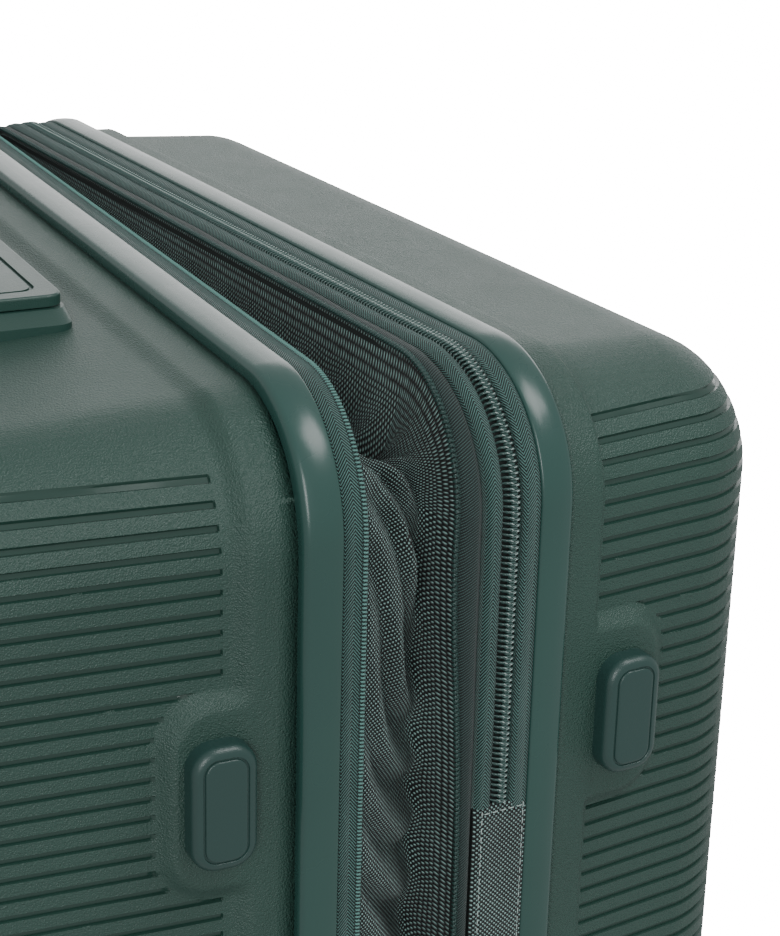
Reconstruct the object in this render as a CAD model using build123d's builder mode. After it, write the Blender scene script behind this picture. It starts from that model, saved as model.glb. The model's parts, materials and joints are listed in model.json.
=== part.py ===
"""Hard shell suitcase on four twin wheels, standing with its expansion gusset let out on the hinge side.

X runs across the case, Y from the lid (-Y) to the back half (+Y), Z up from the floor. Everything is laid
out on the closed case, with y = 0 at the back rim's inner plane, and the band and lid pieces are then turned
by EXPANSION_ANGLE about the upright line where the gusset stays shut. The last step puts the origin under
the middle of the case.
"""

import os
from math import radians, tan

from build123d import *

os.makedirs("parts", exist_ok=True)

# ---- case ----
CASE_WIDTH = 450.0
CASE_HEIGHT = 610.0
CASE_FLOOR = 60.0  # height of the shells' underside
MID_Z = CASE_FLOOR + CASE_HEIGHT / 2
TOP_Z = CASE_FLOOR + CASE_HEIGHT
HALF_WIDTH = CASE_WIDTH / 2
CORNER_RADIUS = 46.0
EXPANSION_ANGLE = 4.26  # degrees the lid side stands open at the hinge side

# ---- rims, shells ----
BACK_RIM = 12.9
FRONT_RIM = 12.4
BAND = 36.0  # from rim to rim when the gusset is zipped shut
RIM_THICKNESS = 6.5
RIM_ROUND = 5.0
WALL = 2.2
STRIP_INSET = 5.4  # smooth strip beside each rim
BACK_LEDGE = (13.0, 8.0)  # width of the strip, then of the slope beside it
FRONT_LEDGE = (14.0, 2.6)
FIELD_INSET = 9.0  # ribbed field past the slope
BACK_DEPTH = 127.0
FRONT_DEPTH = 94.0
DRAFT = 3.4
FACE_ROUND = 36.0
BACK_START = BACK_RIM
FRONT_START = -BAND - FRONT_RIM

# ---- side feet ----
FOOT_SIZE = (22.0, 42.6)
FOOT_RISE = 8.0
FOOT_BACK_Y = 38.3
FOOT_FRONT_Y = -75.6
FOOT_Z = (MID_Z - 182.0, TOP_Z - 124.8)
PAD_SIZE = (30.0, 76.0)

# ---- zips between the rims, as distances from the back rim ----
TAPE = 1.2
EXPANSION_TAPE = (0.3, 8.7)
EXPANSION_COIL = (8.7, 10.1)
FREE_COIL = (10.5, 12.0)
BAND_STRIP = (12.0, 17.5)
MAIN_TAPE_BACK = (17.5, 24.6)
MAIN_COIL_BACK = (24.6, 26.6)
MAIN_COIL_FRONT = (27.0, 29.0)
MAIN_TAPE_FRONT = (29.0, 36.0)
COIL_THICKNESS = 2.6
HINGE_PATCH_Z = (MID_Z - 159.5, MID_Z + 159.5)
GUSSET_INSET = 8.0

# ---- wheels ----
WHEEL_RADIUS = 22.0
WHEEL_WIDTH = 13.0
AXLE_RADIUS = 3.0
WEB = 8.0
TRAIL = 14.0
HOUSING_SIZE = 64.0
HOUSING_CORNER = 25.0
HOUSING_DROP = 6.0  # how far the housings stand out below the shells
HOUSING_TOP = CASE_FLOOR + 20.0
CASTER_X = 176.0
BACK_CASTER_Y = 84.0
FRONT_CASTER_Y = -98.0

# ---- handles ----
HANDLE_LENGTH = 178.0
HANDLE_WIDTH = 42.0
HANDLE_BASE = (196.0, 44.0)
HANDLE_CORNER = 6.0
HANDLE_Y = 63.4
HANDLE_LIFT = 16.0
TUBE_X = 80.0
TUBE_Y = 113.0
TUBES = ((24.0, 16.0), (20.8, 12.8), (17.6, 9.6))  # outer, middle and inner tube
TUBE_WALL = 1.2
STAGE_TRAVEL = 210.0
GRIP = (200.0, 26.0, 30.0)
CUP = (224.0, 38.0, 36.0)

pieces = {}
YAW = Pos(HALF_WIDTH, 0, 0) * Rot(0, 0, EXPANSION_ANGLE) * Pos(-HALF_WIDTH, 0, 0)


def upright(y):
    """An upright plane across the case at this y, at mid height, facing +Y."""
    return Plane(origin=(0, y, MID_Z), x_dir=(1, 0, 0), z_dir=(0, 1, 0))


def keep(name, part, turned=False):
    """Store a finished piece under its name, turned out with the band when it is on that side."""
    pieces[name] = YAW * part if turned else part


def outline(inset, radius=CORNER_RADIUS):
    """The case's rounded outline, moved in by inset."""
    return RectangleRounded(CASE_WIDTH - 2 * inset, CASE_HEIGHT - 2 * inset, radius - inset)


def ring(y_from, y_to, inset, thickness):
    """A band that follows the case's outline between two planes."""
    with BuildPart() as band:
        with BuildSketch(upright(y_from)):
            outline(inset)
            with BuildSketch(mode=Mode.PRIVATE) as hole:
                outline(inset + thickness)
            add(hole.sketch, mode=Mode.SUBTRACT)
        extrude(amount=y_to - y_from)
    return band.part


# ---- shells ----
def shell_form(depth, ledge, inset):
    """The solid form of one half from its rim outwards, moved in by inset all over."""
    strip_end, slope_end = ledge[0], sum(ledge)
    back = depth - inset
    field = FIELD_INSET + inset
    far = field + (back - slope_end) * tan(radians(DRAFT))
    with BuildPart() as form:
        with BuildSketch(upright(0)):
            outline(STRIP_INSET + inset)
        extrude(amount=strip_end)
        with BuildSketch(upright(strip_end)):
            outline(STRIP_INSET + inset)
        with BuildSketch(upright(slope_end)):
            outline(field, CORNER_RADIUS + field / 2)
        loft()
        with BuildSketch(upright(slope_end)):
            outline(field, CORNER_RADIUS + field / 2)
        with BuildSketch(upright(back)):
            outline(far, CORNER_RADIUS + far)
        loft()
        rear_edges = form.edges().group_by(Axis.Y)[-1]
        fillet(rear_edges, radius=FACE_ROUND - inset)
    return form.part


def half_shell(depth, ledge, foot_y):
    """One moulded half: a thin wall, with a raised pad under each side foot."""
    hollow = shell_form(depth, ledge, WALL)
    with BuildPart() as shell:
        add(shell_form(depth, ledge, 0))
        with BuildSketch(Plane.YZ.offset(-HALF_WIDTH + STRIP_INSET)):
            with Locations(*[(foot_y / 2, z) for z in FOOT_Z]):
                RectangleRounded(foot_y + PAD_SIZE[0], PAD_SIZE[1], 9)
        extrude(amount=12)
        with Locations((0, -50, MID_Z)):
            Box(CASE_WIDTH, 100, CASE_HEIGHT, mode=Mode.SUBTRACT)
        add(hollow, mode=Mode.SUBTRACT)
    return shell.part


def side_feet(y):
    """The pair of rounded feet on the hinge side, with the pad face as their seat."""
    with BuildPart() as feet:
        with BuildSketch(Plane.YZ.offset(-HALF_WIDTH + STRIP_INSET)):
            with Locations(*[(y, z) for z in FOOT_Z]):
                RectangleRounded(*FOOT_SIZE, 9)
        extrude(amount=-FOOT_RISE)
        fillet(feet.faces().sort_by(Axis.X)[:2].edges(), radius=2.2)
    return feet.part


def foot_screws(y):
    """Two screws through the wall into each side foot, heads on the inside."""
    seat = Plane.YZ.offset(-HALF_WIDTH + 14.5)
    places = [(y, z + side * 11) for z in FOOT_Z for side in (-1, 1)]
    with BuildPart() as screws:
        with BuildSketch(seat):
            with Locations(*places):
                Circle(3.2)
        extrude(amount=2.2)
        with BuildSketch(seat):
            with Locations(*places):
                Circle(1.7)
        extrude(amount=-14)
    return screws.part


def rim(y_from, width):
    """A smooth rounded frame strip round a shell's mouth, lapping over the shell's edge."""
    with BuildPart() as frame:
        add(ring(y_from, y_from + width, 0, RIM_THICKNESS))
        outer = frame.faces().filter_by(GeomType.PLANE).filter_by(Axis.Y)
        edges = [e for face in outer for e in face.outer_wire().edges()]
        fillet(edges, radius=RIM_ROUND)
    return frame.part


# ---- handles in their own frame: length along X, width along Y, case skin at z = 0 ----
def handle_base():
    """The recessed seat of a pull-up carry handle, with a finger trough and two post holes."""
    with BuildPart() as base:
        with BuildSketch(Plane.XY.offset(-22)):
            RectangleRounded(*HANDLE_BASE, HANDLE_CORNER)
        extrude(amount=24.6)
        with BuildSketch(Plane.XY.offset(2.6)):
            RectangleRounded(*HANDLE_BASE, HANDLE_CORNER)
        with BuildSketch(Plane.XY.offset(6)):
            RectangleRounded(HANDLE_LENGTH + 3, HANDLE_WIDTH + 1, HANDLE_CORNER - 0.5)
        loft()
        with BuildSketch(Plane.XY.offset(6)):
            RectangleRounded(132, HANDLE_BASE[1] - 12, 12)
        extrude(amount=-26, mode=Mode.SUBTRACT)
        with BuildSketch(Plane.XY.offset(6)):
            with GridLocations(156, 0, 2, 1):
                RectangleRounded(12.8, 20.8, 3.4)
        extrude(amount=-28, mode=Mode.SUBTRACT)
    return base.part


def handle_bar():
    """The pull-up handle: a slim bar with rounded ends on two flat posts."""
    with BuildPart() as bar:
        with BuildSketch(Plane.XY.offset(6.5)):
            RectangleRounded(HANDLE_LENGTH, HANDLE_WIDTH, HANDLE_CORNER)
        extrude(amount=4)
        fillet(bar.faces().sort_by(Axis.Z)[-1].edges(), radius=1)
        with BuildSketch(Plane.XY.offset(-21)):
            with GridLocations(156, 0, 2, 1):
                RectangleRounded(12, 20, 3)
        extrude(amount=27.7)
        with BuildSketch(Plane.XY.offset(10.5)):
            RectangleRounded(HANDLE_LENGTH - 14, HANDLE_WIDTH - 14, 6)
            RectangleRounded(HANDLE_LENGTH - 17, HANDLE_WIDTH - 17, 5, mode=Mode.SUBTRACT)
        extrude(amount=-0.8, mode=Mode.SUBTRACT)
    return bar.part


TOP_HANDLE = Pos(0, HANDLE_Y, TOP_Z - FIELD_INSET - 1)
SIDE_HANDLE = Pos(HALF_WIDTH - FIELD_INSET - 1, HANDLE_Y, MID_Z) * Rot(0, 90, 0)

keep("carry_handle_base", TOP_HANDLE * handle_base())
keep("carry_handle", TOP_HANDLE * handle_bar())
keep("side_handle_base", SIDE_HANDLE * handle_base())
keep("side_handle", SIDE_HANDLE * handle_bar())

# ---- telescopic handle ----
CUP_TOP = TOP_Z - 1.0
CUP_FLOOR = CUP_TOP - CUP[2]
with BuildPart() as trolley_cup:
    with BuildSketch(Plane.XY.offset(CUP_FLOOR - 2)):
        with Locations((0, TUBE_Y)):
            RectangleRounded(CUP[0], CUP[1], 9)
    extrude(amount=CUP[2] + 2)
    fillet(trolley_cup.faces().sort_by(Axis.Z)[-1].edges(), radius=2)
    with BuildSketch(Plane.XY.offset(CUP_FLOOR)):
        with Locations((0, TUBE_Y)):
            RectangleRounded(GRIP[0] + 6, GRIP[1] + 5, 7)
    extrude(amount=CUP[2], mode=Mode.SUBTRACT)
    with BuildSketch(Plane.XY.offset(CUP_FLOOR - 2)):
        with Locations((-TUBE_X, TUBE_Y), (TUBE_X, TUBE_Y)):
            RectangleRounded(TUBES[1][0] + 0.8, TUBES[1][1] + 0.8, 4)
    extrude(amount=2, mode=Mode.SUBTRACT)
keep("trolley_cup", trolley_cup.part)


def tube_pair(size, bottom, top):
    """Two rounded rectangular tubes side by side."""
    with BuildPart() as tubes:
        with BuildSketch(Plane.XY.offset(bottom)):
            with Locations((-TUBE_X, TUBE_Y), (TUBE_X, TUBE_Y)):
                RectangleRounded(size[0], size[1], 4)
                RectangleRounded(size[0] - 2 * TUBE_WALL, size[1] - 2 * TUBE_WALL, 2.8, mode=Mode.SUBTRACT)
        extrude(amount=top - bottom)
    return tubes.part


GRIP_BOTTOM = CUP_FLOOR + 4
OUTER_BOTTOM = CASE_FLOOR + 45
keep("trolley_outer_tubes", tube_pair(TUBES[0], OUTER_BOTTOM, CUP_FLOOR - 2))
keep("trolley_middle_tubes", tube_pair(TUBES[1], OUTER_BOTTOM + 30, CUP_FLOOR + 1))
keep("trolley_inner_tubes", tube_pair(TUBES[2], OUTER_BOTTOM + 60, GRIP_BOTTOM + 10))

with BuildPart() as trolley_bracket:
    with Locations((0, TUBE_Y, OUTER_BOTTOM - 5)):
        Box(2 * TUBE_X + 44, 20, 10)
    with Locations((0, TUBE_Y, OUTER_BOTTOM)):
        with GridLocations(2 * TUBE_X - 34, 0, 2, 1):
            Hole(radius=2.2, depth=12)
keep("trolley_bracket", trolley_bracket.part)

with BuildPart() as trolley_grip:
    with BuildSketch(Plane.XY.offset(GRIP_BOTTOM)):
        with Locations((0, TUBE_Y)):
            RectangleRounded(GRIP[0], GRIP[1], 8)
    extrude(amount=GRIP[2])
    fillet(trolley_grip.edges().filter_by(Axis.Z, reverse=True), radius=5)
    with BuildSketch(Plane.XY.offset(GRIP_BOTTOM + GRIP[2])):
        with Locations((0, TUBE_Y)):
            RectangleRounded(38.8, 12.8, 5)
    extrude(amount=-8, mode=Mode.SUBTRACT)
    with BuildSketch(Plane.XY.offset(GRIP_BOTTOM)):
        with Locations((-TUBE_X, TUBE_Y), (TUBE_X, TUBE_Y)):
            RectangleRounded(TUBES[2][0], TUBES[2][1], 4)
    extrude(amount=10, mode=Mode.SUBTRACT)
keep("trolley_grip", trolley_grip.part)

with BuildPart() as trolley_button:
    with BuildSketch(Plane.XY.offset(GRIP_BOTTOM + GRIP[2] - 4.5)):
        with Locations((0, TUBE_Y)):
            RectangleRounded(38, 12, 4.8)
    extrude(amount=5)
    fillet(trolley_button.faces().sort_by(Axis.Z)[-1].edges(), radius=1.2)
keep("trolley_button", trolley_button.part)

# ---- shells, cut for the handles and the cup ----
def housing_pockets(y):
    """The two upright blocks cut from a shell's bottom corners for its wheel housings."""
    with BuildPart() as pockets:
        with BuildSketch(Plane.XY):
            with Locations((-CASTER_X, y), (CASTER_X, y)):
                RectangleRounded(HOUSING_SIZE, HOUSING_SIZE, HOUSING_CORNER)
        extrude(amount=HOUSING_TOP)
    return pockets.part


with BuildPart() as back_shell:
    add(Pos(0, BACK_START, 0) * half_shell(BACK_DEPTH, BACK_LEDGE, FOOT_BACK_Y - BACK_START))
    add(housing_pockets(BACK_CASTER_Y), mode=Mode.SUBTRACT)
    with BuildSketch(Plane.XY.offset(TOP_Z + 10)):
        with Locations((0, HANDLE_Y)):
            RectangleRounded(*HANDLE_BASE, HANDLE_CORNER)
        with Locations((0, TUBE_Y)):
            RectangleRounded(CUP[0], CUP[1], 9)
    extrude(amount=-80, mode=Mode.SUBTRACT)
    with BuildSketch(Plane.YZ.offset(HALF_WIDTH + 10)):
        with Locations((HANDLE_Y, MID_Z)):
            RectangleRounded(HANDLE_BASE[1], HANDLE_BASE[0], HANDLE_CORNER)
    extrude(amount=-80, mode=Mode.SUBTRACT)
keep("back_shell", back_shell.part)

LOCK_Y = FRONT_START - 14.0
LOCK_SIZE = (16.0, 19.0, 66.0)
LOCK_X = HALF_WIDTH - 4.0  # outer face of the lock
with BuildPart() as front_shell:
    add(mirror(Pos(0, -FRONT_START, 0) * half_shell(FRONT_DEPTH, FRONT_LEDGE, FRONT_START - FOOT_FRONT_Y), Plane.XZ))
    with Locations((HALF_WIDTH, LOCK_Y, MID_Z)):
        Box(60, LOCK_SIZE[1], LOCK_SIZE[2], mode=Mode.SUBTRACT)
    add(housing_pockets(FRONT_CASTER_Y), mode=Mode.SUBTRACT)
keep("front_shell", front_shell.part, turned=True)

keep("back_rim", rim(0, BACK_RIM))
keep("front_rim", rim(FRONT_START, FRONT_RIM), turned=True)
keep("back_side_feet", side_feet(FOOT_BACK_Y))
keep("front_side_feet", side_feet(FOOT_FRONT_Y), turned=True)

# ---- zips, band and gusset ----
keep("expansion_tape", ring(-EXPANSION_TAPE[1], -EXPANSION_TAPE[0], 1.6, TAPE))
keep("expansion_coil", ring(-EXPANSION_COIL[1], -EXPANSION_COIL[0], 0.9, COIL_THICKNESS))
keep("free_coil", ring(-FREE_COIL[1], -FREE_COIL[0], 0.9, COIL_THICKNESS), turned=True)
keep("band_strip", ring(-BAND_STRIP[1], -BAND_STRIP[0], 1.6, 2.4), turned=True)


def split_at_hinge(band):
    """A band with the stretch behind the fabric hinge taken out."""
    low, high = HINGE_PATCH_Z
    with BuildPart() as chain:
        add(band)
        with Locations((-HALF_WIDTH, -BAND / 2 - 10, (low + high) / 2)):
            Box(20, BAND, high - low, mode=Mode.SUBTRACT)
    return chain.part


MAIN_ZIP = (
    ("main_tape_back", MAIN_TAPE_BACK, 1.6, TAPE),
    ("main_coil_back", MAIN_COIL_BACK, 0.9, COIL_THICKNESS),
    ("main_coil_front", MAIN_COIL_FRONT, 0.9, COIL_THICKNESS),
    ("main_tape_front", MAIN_TAPE_FRONT, 1.6, TAPE),
)
for zip_name, span, inset, thickness in MAIN_ZIP:
    keep(zip_name, split_at_hinge(ring(-span[1], -span[0], inset, thickness)), turned=True)

with BuildPart() as fabric_hinge:
    with BuildSketch(Plane.YZ.offset(-HALF_WIDTH + 1.4)):
        with Locations((-(BAND_STRIP[1] + BAND) / 2, MID_Z)):
            Rectangle(BAND - BAND_STRIP[1] - 0.3, HINGE_PATCH_Z[1] - HINGE_PATCH_Z[0] - 0.6)
    extrude(amount=1.6)
keep("fabric_hinge", fabric_hinge.part, turned=True)

past_the_band = YAW * Pos(0, -BAND_STRIP[0] - 100, MID_Z) * Box(CASE_WIDTH * 1.2, 200, CASE_HEIGHT * 1.2)
with BuildPart() as gusset:
    add(ring(-80, -0.3, GUSSET_INSET, 1.6))
    add(past_the_band, mode=Mode.SUBTRACT)
keep("gusset", gusset.part)


# ---- zip sliders and pulls, on the straight run of the opening side ----
def slider(y, z, lift=0.0):
    """A zip slider riding on the coil, with a bridge that carries its pull."""
    with BuildPart() as body:
        with Locations((HALF_WIDTH + 1.0, y, z)):
            Box(3.2, 8, 11)
        fillet(body.edges().filter_by(Axis.X), radius=2.4)
        with BuildSketch(Plane.XZ.offset(-y - 1)):
            with Locations((HALF_WIDTH + 3.6, z)):
                SlotOverall(8, 5.4, rotation=90)
                SlotOverall(5.2, 2.6, rotation=90, mode=Mode.SUBTRACT)
        extrude(amount=2)
    return Pos(lift, 0, 0) * body.part


def pull(y, z, length, lift=0.0):
    """A slider's pull tab, hanging from the bridge."""
    with BuildPart() as tab:
        with BuildSketch(Plane.YZ.offset(HALF_WIDTH + 3.1)):
            with Locations((y, z + 2 - length / 2)):
                RectangleRounded(7, length, 2.5)
            with Locations((y, z - 2.2)):
                Rectangle(2.8, 6.4, mode=Mode.SUBTRACT)
        extrude(amount=1.0)
    return Pos(lift, 0, 0) * tab.part


SLIDER_Z = {"upper_slider": MID_Z + 95, "lower_slider": MID_Z - 95}
MAIN_COIL_Y = -(MAIN_COIL_BACK[0] + MAIN_COIL_FRONT[1]) / 2
EXPANSION_Y = -(EXPANSION_COIL[0] + FREE_COIL[1]) / 2
EXPANSION_SLIDER_Z = MID_Z + 180
EXPANSION_LIFT = 1.4  # clears the free coil as it swings shut
for slider_name, slider_z in SLIDER_Z.items():
    keep(slider_name, slider(MAIN_COIL_Y, slider_z), turned=True)
    keep(slider_name.replace("slider", "pull"), pull(MAIN_COIL_Y, slider_z, 34), turned=True)
keep("expansion_slider", slider(EXPANSION_Y, EXPANSION_SLIDER_Z, EXPANSION_LIFT))
keep("expansion_pull", pull(EXPANSION_Y, EXPANSION_SLIDER_Z, 26, EXPANSION_LIFT))

# ---- combination lock ----
DIAL_RADIUS = 7.0
DIAL_X = LOCK_X - DIAL_RADIUS + 1.2
DIAL_Z = [MID_Z - 4 + step for step in (-8.0, 0.0, 8.0)]
BUTTON_Z = MID_Z + 20.0
with BuildPart() as lock_case:
    with Locations((LOCK_X - LOCK_SIZE[0] / 2, LOCK_Y, MID_Z)):
        Box(*LOCK_SIZE)
    fillet(lock_case.faces().sort_by(Axis.X)[-1].edges(), radius=1.5)
    with Locations(*[(DIAL_X, LOCK_Y, z) for z in DIAL_Z]):
        Cylinder(DIAL_RADIUS + 0.5, 5.6, mode=Mode.SUBTRACT)
    with BuildSketch(Plane.YZ.offset(LOCK_X)):
        with Locations((LOCK_Y, BUTTON_Z)):
            SlotOverall(14.8, 8.8)
    extrude(amount=-8, mode=Mode.SUBTRACT)
keep("lock_case", lock_case.part, turned=True)
for number, dial_z in enumerate(DIAL_Z, start=1):
    with BuildPart() as dial:
        with Locations((DIAL_X, LOCK_Y, dial_z)):
            Cylinder(DIAL_RADIUS, 5)
            with PolarLocations(DIAL_RADIUS + 0.2, 10):
                Cylinder(0.7, 5, mode=Mode.SUBTRACT)
    keep(f"lock_dial_{number}", dial.part, turned=True)
with BuildPart() as lock_button:
    with BuildSketch(Plane.YZ.offset(LOCK_X + 0.8)):
        with Locations((LOCK_Y, BUTTON_Z)):
            SlotOverall(14, 8)
    extrude(amount=-5.5)
keep("lock_button", lock_button.part, turned=True)


# ---- casters ----
def caster(name, x, y, turned):
    """One corner's housing, swivel fork and twin wheels."""
    with BuildPart() as housing:
        with BuildSketch(Plane.XY.offset(CASE_FLOOR - HOUSING_DROP)):
            with Locations((x, y)):
                RectangleRounded(HOUSING_SIZE, HOUSING_SIZE, HOUSING_CORNER)
        extrude(amount=HOUSING_TOP - CASE_FLOOR + HOUSING_DROP)
        fillet(housing.faces().sort_by(Axis.Z)[0].edges(), radius=3)
        with Locations((x, y, HOUSING_TOP)):
            Hole(radius=5.05)
    fork_top = CASE_FLOOR - HOUSING_DROP - 1
    axle = (x, y + TRAIL, WHEEL_RADIUS)
    with BuildPart() as fork:
        with BuildSketch(Plane.XY.offset(fork_top - 5)):
            with Locations((x, y)):
                Circle(24)
        extrude(amount=5)
        with BuildSketch(Plane.XY.offset(fork_top)):
            with Locations((x, y)):
                Circle(5)
        extrude(amount=HOUSING_TOP - fork_top)
        with BuildSketch(Plane.YZ.offset(x - WEB / 2)):
            with BuildLine():
                Polyline((y - 20, fork_top), (y + 22, fork_top), (axle[1] + 7, axle[2]),
                         (axle[1], axle[2] - 7), (axle[1] - 7, axle[2]), close=True)
            make_face()
        extrude(amount=WEB)
        with BuildSketch(Plane.YZ.offset(x - WEB / 2 - WHEEL_WIDTH - 0.8)):
            with Locations(axle[1:]):
                Circle(AXLE_RADIUS)
        extrude(amount=WEB + 2 * WHEEL_WIDTH + 1.6)
    with BuildPart() as wheels:
        for side in (-1, 1):
            face = x + side * (WEB / 2 + 0.4)
            with BuildSketch(Plane.YZ.offset(face)):
                with Locations(axle[1:]):
                    Circle(WHEEL_RADIUS)
                    Circle(AXLE_RADIUS + 0.05, mode=Mode.SUBTRACT)
            extrude(amount=side * WHEEL_WIDTH)
        rolling = wheels.edges().filter_by(GeomType.CIRCLE)
        fillet([e for e in rolling if e.radius > WHEEL_RADIUS - 1], radius=2.5)
    keep(f"{name}_housing", housing.part, turned)
    keep(f"{name}_fork", fork.part, turned)
    keep(f"{name}_wheels", wheels.part, turned)


CASTERS = {
    "back_hinge_side": (-CASTER_X, BACK_CASTER_Y, False),
    "back_open_side": (CASTER_X, BACK_CASTER_Y, False),
    "front_hinge_side": (-CASTER_X, FRONT_CASTER_Y, True),
    "front_open_side": (CASTER_X, FRONT_CASTER_Y, True),
}
for caster_name, (caster_x, caster_y, caster_turned) in CASTERS.items():
    caster(caster_name, caster_x, caster_y, caster_turned)

# ---- inside ----
LINING = 1.2
LINING_CORNER = 45.0


def tray(low, high, mouth_y, floor_y):
    """An open lining tray between two XZ corners, from its mouth to its floor."""
    size = (high[0] - low[0], high[1] - low[1])
    middle = ((low[0] + high[0]) / 2, (low[1] + high[1]) / 2)
    depth = floor_y - mouth_y
    turn = 1 if depth > 0 else -1
    with BuildPart() as box:
        with BuildSketch(Plane(origin=(middle[0], mouth_y, middle[1]), x_dir=(1, 0, 0), z_dir=(0, 1, 0))):
            RectangleRounded(*size, LINING_CORNER)
        extrude(amount=depth)
        with BuildSketch(Plane(origin=(middle[0], mouth_y, middle[1]), x_dir=(1, 0, 0), z_dir=(0, 1, 0))):
            RectangleRounded(size[0] - 2 * LINING, size[1] - 2 * LINING, LINING_CORNER - LINING)
        extrude(amount=depth - turn * LINING, mode=Mode.SUBTRACT)
    return box.part


BACK_FLOOR_Y = 98.0
FRONT_FLOOR_Y = FRONT_START - FRONT_DEPTH + 20.0
BACK_LINING_BOX = ((-HALF_WIDTH + 20, CASE_FLOOR + 24), (HALF_WIDTH - 36, TOP_Z - 42))
FRONT_LINING_BOX = ((-HALF_WIDTH + 26, CASE_FLOOR + 28), (HALF_WIDTH - 26, TOP_Z - 26))
keep("back_lining", tray(*BACK_LINING_BOX, 4.0, BACK_FLOOR_Y))
keep("front_lining", tray(*FRONT_LINING_BOX, -BAND - 6.0, FRONT_FLOOR_Y), turned=True)

with BuildPart() as divider_panel:
    with BuildSketch(upright(-BAND - 5.5)):
        with Locations((-3, 0)):
            RectangleRounded(CASE_WIDTH - 42, CASE_HEIGHT - 36, 30)
    extrude(amount=1.6)
keep("divider_panel", divider_panel.part, turned=True)

STRAP_WIDTH = 25.0
STRAP_Y = BACK_FLOOR_Y - LINING - 1.6
STRAP_CORNERS = [(-HALF_WIDTH + 50, 200.0), (HALF_WIDTH - 70, 200.0)]
with BuildPart() as packing_straps:
    for strap_x, strap_z in STRAP_CORNERS:
        for side in (-1, 1):
            toward = Vector(strap_x, 0, side * strap_z)
            start = toward.normalized() * 46
            middle_point = (toward + start) / 2
            angle = Vector(1, 0, 0).get_signed_angle(toward, Vector(0, -1, 0))
            with Locations(Location((middle_point.X, STRAP_Y, MID_Z + middle_point.Z), (0, angle, 0))):
                Box((toward - start).length, 1.4, STRAP_WIDTH)
keep("packing_straps", packing_straps.part)

with BuildPart() as buckle_socket:
    with BuildSketch(upright(STRAP_Y - 6)):
        with Locations((-15.3, 0)):
            RectangleRounded(30, 74, 8)
        with Locations((-4, 0)):
            Rectangle(10.2, 24.8, mode=Mode.SUBTRACT)
    extrude(amount=7)
keep("buckle_socket", buckle_socket.part)
with BuildPart() as buckle_tongue:
    with BuildSketch(upright(STRAP_Y - 6)):
        with Locations((15.6, 0)):
            RectangleRounded(29, 74, 8)
        with Locations((-3, 0)):
            Rectangle(12, 24)
    extrude(amount=7)
keep("buckle_tongue", buckle_tongue.part)

keep("back_foot_screws", foot_screws(FOOT_BACK_Y))
keep("front_foot_screws", foot_screws(FOOT_FRONT_Y), turned=True)

# ---- origin under the middle of the case, then one file per piece ----
boxes = [piece.bounding_box() for piece in pieces.values()]
MIDDLE_X = (min(box.min.X for box in boxes) + max(box.max.X for box in boxes)) / 2
MIDDLE_Y = (min(box.min.Y for box in boxes) + max(box.max.Y for box in boxes)) / 2
CENTRE = Pos(-MIDDLE_X, -MIDDLE_Y, 0)
for piece_name, piece in pieces.items():
    placed = CENTRE * piece
    placed.label = piece_name
    pieces[piece_name] = placed
    export_step(placed, f"parts/{piece_name}.step")
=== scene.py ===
"""Looks of the hard shell suitcase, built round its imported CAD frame.

Everything is laid out on the closed case first: x across it, y from the back rim's inner plane
towards the back, z from its middle. The Case object then carries a point to where its half really
stands, because the lid side stands open by the angle of the expansion joint.
"""

from __future__ import annotations

import json
import logging
import math
from dataclasses import dataclass, field
from enum import Enum

import bmesh
import bpy
import numpy as np
from mathutils import Matrix, Vector, noise

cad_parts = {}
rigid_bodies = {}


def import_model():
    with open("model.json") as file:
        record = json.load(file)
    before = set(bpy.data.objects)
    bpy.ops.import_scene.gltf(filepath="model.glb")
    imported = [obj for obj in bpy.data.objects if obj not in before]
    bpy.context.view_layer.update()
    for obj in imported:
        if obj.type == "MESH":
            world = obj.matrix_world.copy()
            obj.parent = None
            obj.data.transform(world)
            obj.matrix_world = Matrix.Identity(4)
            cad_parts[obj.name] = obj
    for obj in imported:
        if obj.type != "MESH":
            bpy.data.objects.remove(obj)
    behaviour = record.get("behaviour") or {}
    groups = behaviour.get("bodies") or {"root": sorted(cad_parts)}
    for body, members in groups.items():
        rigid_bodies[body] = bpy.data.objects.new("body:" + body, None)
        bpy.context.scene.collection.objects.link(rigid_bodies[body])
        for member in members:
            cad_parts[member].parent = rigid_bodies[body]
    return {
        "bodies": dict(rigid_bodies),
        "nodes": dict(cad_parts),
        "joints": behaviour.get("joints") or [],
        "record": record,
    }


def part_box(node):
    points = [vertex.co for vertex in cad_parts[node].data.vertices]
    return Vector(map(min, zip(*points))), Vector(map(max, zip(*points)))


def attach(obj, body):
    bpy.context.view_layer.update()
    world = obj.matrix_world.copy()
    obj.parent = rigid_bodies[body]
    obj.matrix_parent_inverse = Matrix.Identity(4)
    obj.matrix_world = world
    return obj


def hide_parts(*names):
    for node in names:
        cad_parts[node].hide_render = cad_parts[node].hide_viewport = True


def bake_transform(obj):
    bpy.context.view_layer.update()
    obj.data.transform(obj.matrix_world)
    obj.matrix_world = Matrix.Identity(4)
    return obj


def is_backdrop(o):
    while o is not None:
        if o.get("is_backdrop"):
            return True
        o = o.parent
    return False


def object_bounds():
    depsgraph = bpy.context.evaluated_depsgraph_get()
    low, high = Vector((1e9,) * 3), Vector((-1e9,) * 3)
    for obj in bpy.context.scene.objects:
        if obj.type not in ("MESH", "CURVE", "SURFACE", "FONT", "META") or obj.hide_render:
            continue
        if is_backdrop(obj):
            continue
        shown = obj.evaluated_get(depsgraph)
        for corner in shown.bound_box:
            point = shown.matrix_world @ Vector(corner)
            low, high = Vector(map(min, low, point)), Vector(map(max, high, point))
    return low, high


MM = 0.001
LOG = logging.getLogger("suitcase")

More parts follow.
